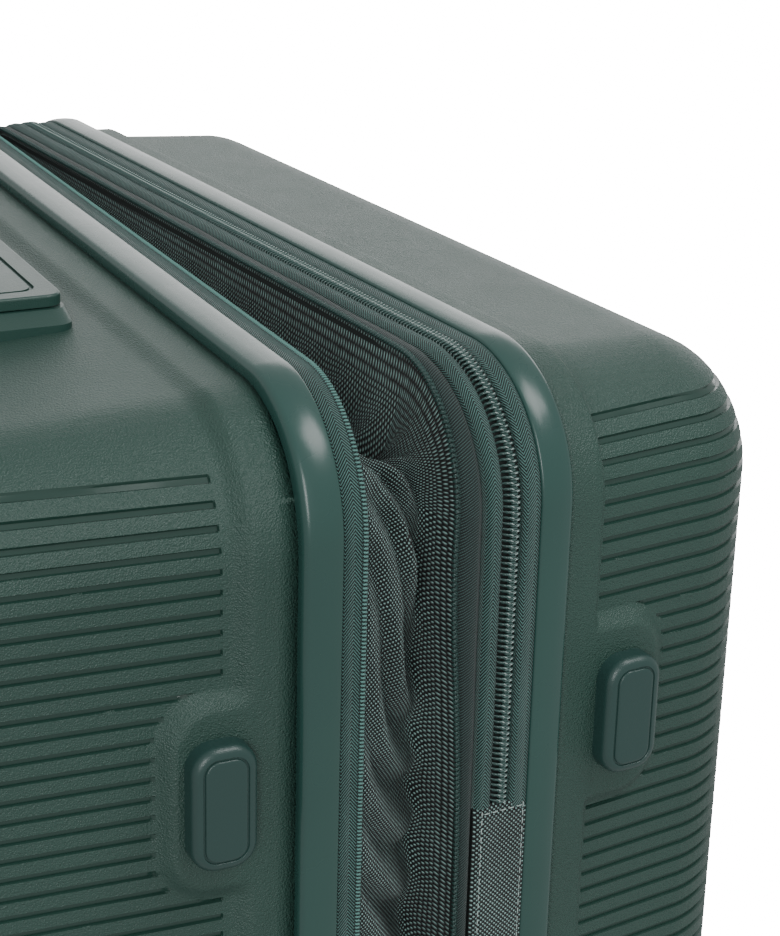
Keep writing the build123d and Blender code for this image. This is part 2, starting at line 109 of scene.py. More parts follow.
# Where the rims and shells begin along y on the closed case.
BACK_RIM_WIDTH = 12.9 * MM
LID_RIM_WIDTH = 12.4 * MM
LID_START = -48.4 * MM
BACK_DEPTH = 127 * MM
LID_DEPTH = 94 * MM
OPENING_TRIM = 5 * MM
TAPE_CREASE = 50
MOULDING_CREASE = 40
SHELL_CREASE = 32
LINING_CREASE = 60
PALE_FLOOR_HALF = 40.0
ROOM_LIGHT = 0.6
BACKDROP_LIGHT = 30.0
FLOOR_GLOW = 20.0


class Side(Enum):
    """Which half of the case a piece is laid out on."""

    BACK = 1
    LID = -1


# ---------------------------------------------------------------- the case's own axes
@dataclass(frozen=True)
class Case:
    """The closed case's axes, and where each half stands in the row frame."""

    middle: Vector
    hinge: Vector
    angle: float
    half_width: float
    half_height: float
    corner: float = 46 * MM

    @classmethod
    def from_frame(cls, frame: dict) -> "Case":
        """Read the case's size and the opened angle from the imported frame.


        Returns:
            The case.
        """
        low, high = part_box("back_rim")
        joint = next(j for j in frame["joints"] if j["name"] == "expansion")
        hinge = Vector(joint["pos_m"])
        middle = Vector(((low.x + high.x) / 2, hinge.y, (low.z + high.z) / 2))
        return cls(middle, hinge, math.radians(-joint["range_deg"][0]),
                   (high.x - low.x) / 2, (high.z - low.z) / 2)

    def turn_end(self) -> float:
        """Distance round the case to the foot of the hinge side's upper corner."""
        return (2 * (self.half_height - self.corner) + 3 * (self.half_width - self.corner)
                + 1.5 * math.pi * self.corner)

    def place(self, points: np.ndarray, side: Side) -> np.ndarray:
        """Carry closed-case points to the row frame.

        Args:
            points: An n by 3 array on the closed case.
            side: The half that the points belong to.

        Returns:
            The points in the row frame.
        """
        placed = np.asarray(points, float) + np.array(self.middle)
        if side is Side.LID:
            c, s = math.cos(self.angle), math.sin(self.angle)
            away = placed[:, :2] - np.array(self.hinge)[:2]
            turn = np.array([[c, -s], [s, c]])
            placed[:, :2] = away @ turn.T + np.array(self.hinge)[:2]
        return placed


@dataclass(frozen=True)
class Loop:
    """A rounded rectangle walked once round, from the middle of its underside."""

    points: np.ndarray
    normals: np.ndarray
    along: np.ndarray
    length: float


def rounded_loop(half_width: float, half_height: float, radius: float,
                 straight: int = 24, arc: int = 20) -> Loop:
    """Walk a rounded rectangle with the same number of points whatever its size.

    Args:
        half_width: Half its width.
        half_height: Half its height.
        radius: Its corner radius.
        straight: Steps along each side.
        arc: Steps round each corner.

    Returns:
        The loop, with outward normals and the distance along it.
    """
    w, h = half_width - radius, half_height - radius
    half = straight // 2
    spots, outs = [], []

    def run(start: tuple, end: tuple, steps: int, out: tuple) -> None:
        """Add a straight run without its last point."""
        for k in range(steps):
            t = k / steps
            spots.append((start[0] + (end[0] - start[0]) * t, start[1] + (end[1] - start[1]) * t))
            outs.append(out)

    def bend(cx: float, cz: float, first: float) -> None:
        """Add a quarter turn without its last point."""
        for k in range(arc):
            a = math.radians(first + 90 * k / arc)
            outs.append((math.cos(a), math.sin(a)))
            spots.append((cx + radius * math.cos(a), cz + radius * math.sin(a)))

    run((0, -half_height), (w, -half_height), half, (0, -1))
    bend(w, -h, -90)
    run((half_width, -h), (half_width, h), straight, (1, 0))
    bend(w, h, 0)
    run((w, half_height), (-w, half_height), straight, (0, 1))
    bend(-w, h, 90)
    run((-half_width, h), (-half_width, -h), straight, (-1, 0))
    bend(-w, -h, 180)
    run((-w, -half_height), (0, -half_height), half, (0, -1))
    points = np.array(spots)
    gaps = np.linalg.norm(np.roll(points, -1, 0) - points, axis=1)
    along = np.concatenate([[0.0], np.cumsum(gaps)[:-1]])
    return Loop(points, np.array(outs), along, float(gaps.sum()))


def smooth(value: np.ndarray, low: float, high: float) -> np.ndarray:
    """Rise from 0 to 1 between two values with no corner at either end."""
    t = np.clip((value - low) / (high - low), 0, 1)
    return t * t * (3 - 2 * t)


# ---------------------------------------------------------------- meshes
def piece(name: str, verts: np.ndarray, faces: list, finishes: list, corner_uv: np.ndarray | None = None,
          crease: float | None = None) -> bpy.types.Object:
    """Make an object from arrays.

    Args:
        name: The piece's name.
        verts: Points in the row frame.
        faces: Tuples of point numbers.
        finishes: Materials for its slots.
        corner_uv: One UV pair for each corner of each face, in order.
        crease: Edges that turn by more than this many degrees stay sharp.

    Returns:
        The object, linked to the scene.
    """
    mesh = bpy.data.meshes.new(name)
    mesh.from_pydata([tuple(v) for v in verts], [], faces)
    if corner_uv is not None:
        layer = mesh.uv_layers.new(name="along_across")
        layer.data.foreach_set("uv", np.asarray(corner_uv, np.float32).ravel())
    return finish_mesh(name, mesh, finishes, crease)


def finish_mesh(name: str, mesh: bpy.types.Mesh, finishes: list,
                crease: float | None) -> bpy.types.Object:
    """Shade a mesh, give it its materials and link it.

    Args:
        name: The piece's name.
        mesh: Its mesh.
        finishes: Materials for its slots.
        crease: Edges that turn by more than this many degrees stay sharp.

    Returns:
        The linked object.
    """
    mesh.shade_smooth()
    if crease is not None:
        mesh.set_sharp_from_angle(angle=math.radians(crease))
    for finish in finishes:
        mesh.materials.append(finish)
    obj = bpy.data.objects.new(name, mesh)
    bpy.context.scene.collection.objects.link(obj)
    return obj


def ring_faces(count: int, first: int, second: int) -> list[tuple]:
    """Faces between two rings of count points that begin at these numbers."""
    return [(first + k, first + (k + 1) % count, second + (k + 1) % count, second + k)
            for k in range(count)]


def seat(obj: bpy.types.Object, body: str, slot: str, *nodes: str) -> bpy.types.Object:
    """Set a piece on its body and hide the CAD nodes that it stands for."""
    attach(obj, body)
    if nodes:
        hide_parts(*nodes)
    LOG.info("%s rides %s, %d faces", obj.name, body, len(obj.data.polygons))
    return obj


def sweep(case: Case, side: Side, profile: np.ndarray, closed: bool, straight: int = 24, arc: int = 20,
          wave=None) -> tuple[np.ndarray, list, np.ndarray]:
    """Carry a profile round the case.

    Args:
        case: The case.
        side: The half it belongs to.
        profile: Rows of (y, inset from the rim's outline).
        closed: Whether the profile's ends join.
        straight: Steps along each side of the case.
        arc: Steps round each corner.
        wave: A function of (distance along, profile row number, y, inset) that returns a changed
            (y, inset).

    Returns:
        Points in the row frame, faces, and a UV pair for each face corner, in metres.
    """
    loop = rounded_loop(case.half_width, case.half_height, case.corner, straight, arc)
    count, rows = len(loop.points), len(profile)
    widths = np.linalg.norm(np.diff(profile, axis=0), axis=1)
    across = np.concatenate([[0.0], np.cumsum(widths)])
    points = np.zeros((count, rows, 3))
    for k, (y, inset) in enumerate(profile):
        ys, insets = np.full(count, y), np.full(count, inset)
        if wave is not None:
            ys, insets = wave(loop.along, k, ys, insets)
        flat = loop.points - loop.normals * insets[:, None]
        points[:, k, 0], points[:, k, 1], points[:, k, 2] = flat[:, 0], ys, flat[:, 1]
    faces, uv = [], []
    along = np.append(loop.along, loop.length)
    last = rows if closed else rows - 1
    for i in range(count):
        j = (i + 1) % count
        for k in range(last):
            m = (k + 1) % rows
            faces.append((i * rows + k, j * rows + k, j * rows + m, i * rows + m))
            top = across[k + 1] if k + 1 < rows else across[k] + 1e-4
            s, t, low = along[i], along[i + 1], across[k]
            uv.extend([(s, low), (t, low), (t, top), (s, top)])
    return case.place(points.reshape(-1, 3), side), faces, np.array(uv)


# ---------------------------------------------------------------- finishes
class Nodes:
    """A short way to wire shader nodes."""

    def __init__(self, name: str) -> None:
        """Start a material with one Principled shader."""
        self.material = bpy.data.materials.new(name)
        self.material.use_nodes = True
        self.tree = self.material.node_tree
        self.shader = self.tree.nodes["Principled BSDF"]

    def add(self, kind: str, **settings) -> bpy.types.Node:
        """Add a node and set its properties."""
        node = self.tree.nodes.new(kind)
        for key, value in settings.items():
            setattr(node, key, value)
        return node

    def link(self, source, target) -> None:
        """Join two sockets."""
        self.tree.links.new(source, target)

    def math(self, operation: str, a, b=None):
        """Add a Math node.

        Args:
            operation: Blender's name for it.
            a: A socket or a number.
            b: A socket or a number, where it takes two.

        Returns:
            Its output socket.
        """
        node = self.add("ShaderNodeMath", operation=operation)
        for slot, value in enumerate((a, b)):
            if value is None:
                continue
            if isinstance(value, (int, float)):
                node.inputs[slot].default_value = value
            else:
                self.link(value, node.inputs[slot])
        return node.outputs[0]

    def place(self, uv: bool = False):
        """The surface's own coordinates: its UV map in metres, or its place in the object."""
        node = self.add("ShaderNodeTexCoord")
        return node.outputs["UV" if uv else "Object"]

    def noise(self, vector, scale: float, detail: float = 2.0):
        """Add a noise texture and return its grey socket."""
        node = self.add("ShaderNodeTexNoise")
        node.inputs["Scale"].default_value = scale
        node.inputs["Detail"].default_value = detail
        self.link(vector, node.inputs["Vector"])
        return node.outputs["Fac"]

    def ramp(self, value, stops: list[tuple[float, tuple]]):
        """Turn a grey socket into a colour by stops of (position, colour)."""
        node = self.add("ShaderNodeValToRGB")
        elements = node.color_ramp.elements
        while len(elements) < len(stops):
            elements.new(0.5)
        for element, (position, colour) in zip(elements, stops):
            element.position = position
            element.color = (*colour[:3], 1)
        self.link(value, node.inputs["Fac"])
        return node.outputs["Color"]

    def span(self, value, low: float, high: float):
        """Map a 0 to 1 socket to a range."""
        node = self.add("ShaderNodeMapRange")
        node.inputs["To Min"].default_value = low
        node.inputs["To Max"].default_value = high
        self.link(value, node.inputs["Value"])
        return node.outputs["Result"]

    def bump(self, height, distance: float):
        """Add a bump of this depth in metres and return its normal."""
        node = self.add("ShaderNodeBump")
        node.inputs["Distance"].default_value = distance
        self.link(height, node.inputs["Height"])
        return node.outputs["Normal"]


def shade(colour: tuple, factor: float) -> tuple:
    """A lighter or darker colour."""
    return tuple(min(1.0, c * factor) for c in colour[:3])


@dataclass(frozen=True)
class Moulded:
    """Moulded plastic, smooth or with the fine pebble that a blasted mould leaves."""

    name: str
    colour: tuple
    roughness: float
    pebble: float = 0.0
    pebble_scale: float = 1500.0

    def material(self) -> bpy.types.Material:
        """Build the material."""
        n = Nodes(self.name)
        where = n.place()
        patch = n.noise(where, 9.0, 3.0)
        n.link(n.ramp(patch, [(0.3, shade(self.colour, 0.93)), (0.7, shade(self.colour, 1.07))]),
               n.shader.inputs["Base Color"])
        n.link(n.span(n.noise(where, 60.0, 3.0), self.roughness - 0.04, self.roughness + 0.04),
               n.shader.inputs["Roughness"])
        if self.pebble:
            cells = n.add("ShaderNodeTexVoronoi")
            cells.inputs["Scale"].default_value = self.pebble_scale
            n.link(where, cells.inputs["Vector"])
            grain = n.noise(where, self.pebble_scale * 0.55, 3.0)
            height = n.math("ADD", cells.outputs["Distance"], grain)
            n.link(n.bump(height, self.pebble), n.shader.inputs["Normal"])
        else:
            n.link(n.bump(n.noise(where, 250.0, 4.0), 0.00002), n.shader.inputs["Normal"])
        return n.material


class Weave(Enum):
    """How a cloth's yarns cross."""

    HERRINGBONE = "herringbone"
    BASKET = "basket"
    TWILL = "twill"
    PLAIN = "plain"


@dataclass(frozen=True)
class Cloth:
    """Woven cloth, drawn on the piece's UV map in metres. The weave's pattern is real; its light yarn crowns are
    painted sheen and its near-black gaps are painted shade.
    """

    name: str
    weave: Weave
    dark: tuple
    light: tuple
    pitch: float
    relief: float
    width: float = 8 * MM
    sheen: float = 0.1
    stops: tuple = (0.35, 0.62, 0.98)

    def height(self, n: Nodes, u, v):
        """The weave's height, from 0 in the gaps to 1 on the yarns.

        Args:
            n: The material's nodes.
            u: Distance along the piece.
            v: Distance across it.

        Returns:
            A socket.
        """
        if self.weave is Weave.HERRINGBONE:
            stripe = n.math("FRACT", n.math("DIVIDE", v, self.width))
            fold = n.math("ABSOLUTE", n.math("SUBTRACT", stripe, 0.5))
            lean = n.math("MULTIPLY", fold, self.width * 1.35)
            return n.math("PINGPONG", n.math("DIVIDE", n.math("ADD", u, lean), self.pitch), 1.0)
        if self.weave is Weave.TWILL:
            lean = n.math("MULTIPLY", v, 0.8)
            slope = n.math("PINGPONG", n.math("DIVIDE", n.math("ADD", u, lean), self.pitch), 1.0)
            cross = n.math("PINGPONG", n.math("DIVIDE", n.math("SUBTRACT", v, u), self.pitch * 0.7), 1.0)
            return n.math("MULTIPLY", slope, n.math("ADD", n.math("MULTIPLY", cross, 0.5), 0.5))
        a = n.math("SINE", n.math("MULTIPLY", u, math.pi / self.pitch))
        b = n.math("SINE", n.math("MULTIPLY", v, math.pi / self.pitch))
        return n.math("ADD", n.math("MULTIPLY", n.math("MULTIPLY", a, b), 0.5), 0.5)

    def material(self) -> bpy.types.Material:
        """Build the material."""
        n = Nodes(self.name)
        parts = n.add("ShaderNodeSeparateXYZ")
        n.link(n.place(uv=True), parts.inputs[0])
        u, v = parts.outputs["X"], parts.outputs["Y"]
        height = self.height(n, u, v)
        fuzz = n.noise(n.place(uv=True), 1.2 / self.pitch, 4.0)
        drift = n.noise(n.place(uv=True), 30.0, 2.0)
        mix = n.math("ADD", n.math("MULTIPLY", height, 0.75),
                     n.math("ADD", n.math("MULTIPLY", fuzz, 0.35), n.math("MULTIPLY", drift, 0.15)))
        low, half, high = self.stops
        # Base colour by the weave's height, with random tone: painted sheen on the yarn crowns and painted shade in
        # the gaps between yarns of one colour.
        n.link(n.ramp(mix, [(low, self.dark), (half, shade(self.light, 0.4)), (high, self.light)]),
               n.shader.inputs["Base Color"])
        n.link(n.span(fuzz, 0.62, 0.85), n.shader.inputs["Roughness"])
        n.shader.inputs["Sheen Weight"].default_value = self.sheen
        n.shader.inputs["Specular IOR Level"].default_value = 0.35
        n.link(n.bump(mix, self.relief), n.shader.inputs["Normal"])
        return n.material


@dataclass(frozen=True)
class Metal:
    """Bare or painted metal."""

    name: str
    colour: tuple
    roughness: float
    metallic: float = 1.0
    brushed: bool = False

    def material(self) -> bpy.types.Material:
        """Build the material."""
        n = Nodes(self.name)
        where = n.place()
        if self.brushed:
            stretch = n.add("ShaderNodeMapping")
            stretch.inputs["Scale"].default_value = (1.0, 1.0, 0.02)
            n.link(where, stretch.inputs["Vector"])
            where = stretch.outputs["Vector"]
        grain = n.noise(where, 900.0, 3.0)
        n.link(n.ramp(grain, [(0.3, shade(self.colour, 0.9)), (0.7, shade(self.colour, 1.1))]),
               n.shader.inputs["Base Color"])
        n.link(n.span(grain, self.roughness - 0.06, self.roughness + 0.06), n.shader.inputs["Roughness"])
        n.link(n.bump(grain, 0.00001), n.shader.inputs["Normal"])
        n.shader.inputs["Metallic"].default_value = self.metallic
        return n.material


GREEN = (0.020, 0.058, 0.045)


class Finishes:
    """Every finish on the suitcase, built once."""

    def __init__(self) -> None:
        """Build the materials."""
        self.shell = Moulded("shell_pebble", GREEN, 0.46, pebble=0.00026, pebble_scale=1700).material()
        # The grooves take the shell green at 0.8: painted shade in the recessed grooves, on a smoother finish.
        self.groove = Moulded("shell_groove_painted_shade", shade(GREEN, 0.8), 0.24).material()
        self.rim = Moulded("rim_satin", (0.021, 0.066, 0.056), 0.27).material()
        self.foot = Moulded("foot_satin", (0.017, 0.050, 0.044), 0.36,
                             pebble=0.00003, pebble_scale=2500).material()
        self.handle = Moulded("handle_satin", (0.018, 0.056, 0.045), 0.38, pebble=0.00005,
                              pebble_scale=1900).material()
        # Near-black for the sheets behind the zip band: painted shadow in the trough between the tapes.
        self.seam = Moulded("seam_shadow", (0.004, 0.008, 0.007), 0.7).material()
        self.coil = Moulded("coil_nylon", (0.035, 0.075, 0.068), 0.24).material()
        self.thread = Moulded("thread", (0.34, 0.42, 0.4), 0.5).material()
        # Each cloth's light colour is the painted sheen on its yarn crowns, and its dark colour is the painted shade
        # between its yarns.
        self.tape = Cloth("tape_herringbone", Weave.HERRINGBONE, (0.001, 0.003, 0.003),
                          (0.10, 0.24, 0.215), 0.62 * MM, 0.0004, width=6.4 * MM, stops=(0.46, 0.74, 1.0)).material()
        self.twill = Cloth("tape_twill", Weave.TWILL, (0.001, 0.004, 0.004), (0.06, 0.13, 0.12),
                           0.5 * MM, 0.00025, stops=(0.42, 0.72, 1.0)).material()
        self.ballistic = Cloth("ballistic_basket", Weave.BASKET, (0.0003, 0.001, 0.001),
                               (0.30, 0.50, 0.465), 0.86 * MM, 0.0008, stops=(0.66, 0.82, 1.0)).material()
        self.lining = Cloth("lining_polyester", Weave.PLAIN, (0.05, 0.053, 0.056), (0.11, 0.115, 0.12),
                            0.3 * MM, 0.00006, sheen=0.2).material()
        self.webbing = Cloth("strap_webbing", Weave.TWILL, (0.006, 0.006, 0.007), (0.05, 0.05, 0.052),
                             1.1 * MM, 0.0003).material()
        self.black = Moulded("black_acetal", (0.012, 0.012, 0.013), 0.34, pebble=0.00003).material()
        self.tread = Moulded("wheel_tread", (0.014, 0.015, 0.015), 0.55,
                              pebble=0.00004, pebble_scale=900).material()
        self.tube = Metal("tube_anodised", (0.35, 0.36, 0.37), 0.3, brushed=True).material()
        self.steel = Metal("screw_steel", (0.5, 0.5, 0.5), 0.28).material()
        self.zinc = Metal("slider_gunmetal", (0.06, 0.07, 0.068), 0.3, metallic=0.9).material()
        self.dial = Moulded("dial_plastic", (0.11, 0.115, 0.12), 0.4).material()


# ---------------------------------------------------------------- shells
@dataclass
class Shell:
    """One moulded half: ledge by the rim, grooved field, pads for the side feet, openings."""

    case: Case
    side: Side
    start: float
    depth: float
    strip: float
    slope: float
    pad_reach: float
    cutouts: list = field(default_factory=list)
    strip_inset: float = 5.4 * MM
    field_inset: float = 9.0 * MM
    draft: float = math.radians(3.4)
    round_over: float = 36 * MM
    corner: float = 44 * MM
    wall: float = 2.2 * MM
    groove_start: float = 22.6 * MM
    first_groove: float = 25.0 * MM
    pitch: float = 6.5 * MM
    groove_width: float = 2.3 * MM
    groove_slope: float = 0.45 * MM
    groove_depth: float = 1.05 * MM
    foot_drop: float = 124.8 * MM
    pad_half: float = 32 * MM
    pad_corner: float = 14 * MM

    def inset(self, d: np.ndarray) -> np.ndarray:
        """How far the skin lies inside the rim's outline at a distance from it, before the turn."""
        d = np.asarray(d, float)
        end = self.strip + self.slope
        ledge = self.strip_inset + 0.4 * MM * np.clip(d / self.strip, 0, 1)
        fall = (self.field_inset - self.strip_inset - 0.4 * MM) * smooth(d, self.strip, end)
        return ledge + fall + np.clip(d - end, 0, None) * math.tan(self.draft)

    def sections(self) -> list[tuple[float, float, float]]:
        """The skin's sections from the rim out to the flat face, as (distance, inset, corner radius)."""
        end = self.strip + self.slope
        turn = self.depth - self.round_over
        stops = [0.0, self.strip * 0.5, self.strip * 0.85]
        stops += list(np.linspace(self.strip, end, 9))
        stops += list(np.linspace(end, turn, 9)[1:])
        rows = [(d, float(self.inset(d)), self.corner) for d in stops]
        base = rows[-1][1]
        for a in np.linspace(0, 90, 15)[1:]:
            away = 1 - math.cos(math.radians(a))
            rows.append((turn + self.round_over * math.sin(math.radians(a)),
                         base + self.round_over * away, self.corner - self.round_over * away))
        return rows

    def groove_rows(self) -> list[float]:
        """Heights of the grooves' centres above the case's middle."""
        top = self.case.half_height
        rows = []
        z = top - self.first_groove
        while z > -top + self.first_groove:
            rows.append(z)
            z -= self.pitch
        return rows

    def pad_distance(self, d: np.ndarray, z: np.ndarray) -> np.ndarray:
        """Distance outside the nearer foot's pad, negative on it."""
        gap = np.abs(np.abs(z) - self.foot_height())
        reach, half, r = self.pad_reach, self.pad_half, self.pad_corner
        a, b = d - (reach - r), gap - (half - r)
        return np.hypot(np.clip(a, 0, None), np.clip(b, 0, None)) + np.minimum(np.maximum(a, b), 0) - r

    def foot_height(self) -> float:
        """Height of the upper foot's centre above the case's middle."""
        return self.case.half_height - self.foot_drop

    def build(self, name: str, skin: bpy.types.Material, groove: bpy.types.Material) -> bpy.types.Object:
        """Make the shell.

        Args:
            name: The piece's name.
            skin: The pebbled finish.
            groove: The smooth finish in the grooves, darker than the skin as painted shade in the recess.

        Returns:
            The shell, with its wall thickness.
        """
        bm = bmesh.new()
        rings = []
        for d, inset, radius in self.sections():
            loop = rounded_loop(self.case.half_width - inset, self.case.half_height - inset,
                                radius, 28, 18)
            rings.append([bm.verts.new((x, d, z)) for x, z in loop.points])
        for a, b in zip(rings, rings[1:]):
            for k in range(len(a)):
                m = (k + 1) % len(a)
                bm.faces.new((a[k], a[m], b[m], b[k]))
        bm.faces.new(rings[-1])
        bmesh.ops.recalc_face_normals(bm, faces=bm.faces)
        if sum(f.normal.dot(f.calc_center_median()) for f in bm.faces) < 0:
            bmesh.ops.reverse_faces(bm, faces=bm.faces)
        self.cut_grooves(bm)
        self.cut_pads(bm)
        self.cut_openings(bm)
        bm.normal_update()
        self.press(bm)
        mesh = bpy.data.meshes.new(name)
        bm.to_mesh(mesh)
        bm.free()
        co = np.zeros(len(mesh.vertices) * 3)
        mesh.vertices.foreach_get("co", co)
        co = co.reshape(-1, 3)
        co[:, 1] = self.start + self.side.value * co[:, 1]
        mesh.vertices.foreach_set("co", self.case.place(co, self.side).ravel())
        if self.side is Side.LID:
            mesh.flip_normals()
        obj = finish_mesh(name, mesh, [skin, groove], SHELL_CREASE)
        thick = obj.modifiers.new("wall", "SOLIDIFY")
        thick.thickness = self.wall
        thick.offset = -1
        return obj

    def slice(self, bm: bmesh.types.BMesh, point: tuple, normal: tuple, wanted=None) -> None:
        """Cut the mesh's faces along a plane, or only those that wanted(face centre) picks."""
        faces = [f for f in bm.faces if wanted is None or wanted(f.calc_center_median())]
        edges = {e for f in faces for e in f.edges}
        verts = {v for f in faces for v in f.verts}
        bmesh.ops.bisect_plane(bm, geom=list(verts) + list(edges) + faces, dist=1e-6, plane_co=point,
                               plane_no=normal)

    def cut_grooves(self, bm: bmesh.types.BMesh) -> None:
        """Cut the edges of every groove into the skin."""
        half, slope = self.groove_width / 2, self.groove_slope
        for z in self.groove_rows():
            for step in (-half, -half + slope, half - slope, half):
                self.slice(bm, (0, 0, z + step), (0, 0, 1))
        first = self.groove_start
        for d in (first, first + slope):
            self.slice(bm, (0, d, 0), (0, 1, 0))

    def cut_pads(self, bm: bmesh.types.BMesh) -> None:
        """Cut a fine grid round each side foot's pad."""
        low = self.foot_height() - self.pad_half - 8 * MM
        high = self.foot_height() + self.pad_half + 8 * MM
        reach = self.pad_reach + 8 * MM
        near = -self.case.half_width + 20 * MM

        def by_a_foot(c: Vector) -> bool:
            """Whether a face lies on the hinge side beside a foot."""
            return c.x < near and low < abs(c.z) < high and c.y < reach + 4 * MM

        for d in np.arange(self.strip + 1 * MM, reach, 1.5 * MM):
            self.slice(bm, (0, float(d), 0), (0, 1, 0), by_a_foot)
        for z in np.arange(low, high, 1.9 * MM):
            for side in (-1, 1):
                self.slice(bm, (0, 0, float(z) * side), (0, 0, 1), by_a_foot)

    def cut_openings(self, bm: bmesh.types.BMesh) -> None:
        """Cut out the places where fittings pass through the skin."""
        for low, high in self.cutouts:
            for axis in range(3):
                normal = [0.0, 0.0, 0.0]
                normal[axis] = 1.0
                for bound in (low[axis], high[axis]):
                    if abs(bound) < 1:
                        point = [0.0, 0.0, 0.0]
                        point[axis] = bound
                        self.slice(bm, point, normal)
            gone = [f for f in bm.faces
                    if all(low[a] < f.calc_center_median()[a] < high[a] for a in range(3))]
            bmesh.ops.delete(bm, geom=gone, context="FACES")

    def press(self, bm: bmesh.types.BMesh) -> None:
        """Raise the pads and press the grooves in."""
        verts = list(bm.verts)
        co = np.array([v.co for v in verts])
        no = np.array([v.normal for v in verts])
        x, d, z = co.T
        apart = self.pad_distance(d, z)
        hinge_side = x < -self.case.half_width + 25 * MM
        raised = np.where(hinge_side, smooth(-apart, -4.5 * MM, 2.5 * MM), 0.0)
        rise = raised * np.clip(self.inset(d) - self.inset(np.full_like(d, self.strip)), 0, None)
        half, slope = self.groove_width / 2, self.groove_slope
        depth = np.zeros(len(verts))
        for row in self.groove_rows():
            depth = np.maximum(depth, np.clip((half - np.abs(z - row)) / slope, 0, 1))
        first = self.groove_start
        depth *= np.clip((d - first) / slope, 0, 1)
        depth *= smooth(-np.abs(no[:, 2]), -0.86, -0.62)
        depth *= np.where(hinge_side, np.clip((apart - 4.2 * MM) / slope, 0, 1), 1.0)
        moved = co.copy()
        moved[:, 0] -= rise
        moved -= no * (depth * self.groove_depth)[:, None]
        for v, spot in zip(verts, moved):
            v.co = spot
        # Faces deep in a groove take the darker groove finish: painted shade in the recess.
        deep = {v for v, share in zip(verts, depth) if share > 0.5}
        for f in bm.faces:
            f.material_index = int(sum(v in deep for v in f.verts) >= 2)
            f.smooth = True


# ---------------------------------------------------------------- rims and feet
@dataclass
class Rim:
    """The smooth rounded strip that frames one shell's mouth."""

    case: Case
    side: Side
    low: float
    width: float
    thickness: float = 6.4 * MM
    gap_round: float = 1.0 * MM
    shell_round: float = 2.9 * MM
    crown: float = 0.45 * MM

    def profile(self) -> np.ndarray:
        """The strip's section, walked once round: a crisp edge at the gap, a full one at the shell."""
        low, high = (self.gap_round, self.shell_round) if self.side is Side.BACK else (self.shell_round,
                                                                                      self.gap_round)
        rows = [(low - low * math.cos(a), self.crown + low - low * math.sin(a))
                for a in np.linspace(0, 1.35, 8)]
        for t in np.linspace(0, 1, 9)[1:-1]:
            rows.append((low + (self.width - low - high) * t,
                         self.crown * (1 - math.sin(math.pi * t)) ** 1.5))
        rows += [(self.width - high + high * math.cos(a), self.crown + high - high * math.sin(a))
                 for a in np.linspace(1.35, 0, 8)]
        rows += [(self.width, self.thickness), (0.0, self.thickness)]
        return np.array(rows) + np.array([self.low, 0.0])

    def build(self, name: str, finish: bpy.types.Material) -> bpy.types.Object:
        """Make the rim."""
        verts, faces, uv = sweep(self.case, self.side, self.profile(), True, 24, 40)
        return piece(name, verts, faces, [finish], uv, MOULDING_CREASE)


@dataclass
class SideFoot:
    """A rounded foot on the hinge side, with two fine lines round its face."""

    case: Case
    side: Side
    y: float
    width: float = 22 * MM
    height: float = 42.6 * MM
    corner: float = 8.6 * MM
    seat: float = 6.0 * MM

    def profile(self) -> list[tuple[float, float]]:
        """Rows of (inset from the foot's outline, height above its pad)."""
        rows = [(-0.15, -1.4), (0.0, 0.0), (0.12, 2.0), (0.2, 4.2)]
        rows += [(0.2 + 3.2 * (1 - math.cos(a)), 4.2 + 3.2 * math.sin(a))
                 for a in np.linspace(0.15, 1.4, 10)]
        rows += [(3.45, 7.42), (3.6, 7.3), (3.7, 6.95), (4.15, 6.95), (4.25, 7.35), (4.45, 7.62),
                 (4.75, 7.72), (5.4, 7.76), (7.5, 7.8)]
        return [(a * MM, b * MM) for a, b in rows]

    def build(self, name: str, heights: list[float], finish: bpy.types.Material) -> bpy.types.Object:
        """Make the feet at these heights above the case's middle, as one piece."""
        verts, faces = [], []
        for z in heights:
            first = None
            for inset, rise in self.profile():
                loop = rounded_loop(self.width / 2 - inset, self.height / 2 - inset,
                                    max(self.corner - inset, 1.2 * MM), 8, 10)
                start = len(verts)
                verts += [(-self.case.half_width + self.seat - rise, self.y + a, z + b)
                          for a, b in loop.points]
                count = len(loop.points)
                if first is not None:
                    faces += ring_faces(count, first, start)
                first = start
            faces.append(tuple(range(first, first + count)))
        placed = self.case.place(np.array(verts), self.side)
        obj = piece(name, placed, faces, [finish])
        tidy_normals(obj, MOULDING_CREASE)
        return obj


def tidy_normals(obj: bpy.types.Object, crease: float) -> None:
    """Turn a mesh's faces outwards and shade it, keeping sharp turns."""
    bm = bmesh.new()
    bm.from_mesh(obj.data)
    bmesh.ops.recalc_face_normals(bm, faces=bm.faces)
    bm.to_mesh(obj.data)
    bm.free()
    obj.data.shade_smooth()
    obj.data.set_sharp_from_angle(angle=math.radians(crease))


# ---------------------------------------------------------------- zips
def pulled(case: Case, along: np.ndarray) -> np.ndarray:
    """How far the slack free zip is drawn back towards the back half, by distance round the case."""
    away = np.asarray(along) - case.turn_end() - 10 * MM
    spread = np.where(away < 0, 60 * MM, 62 * MM)
    return 5.0 * MM * np.exp(-(away / spread) ** 2)


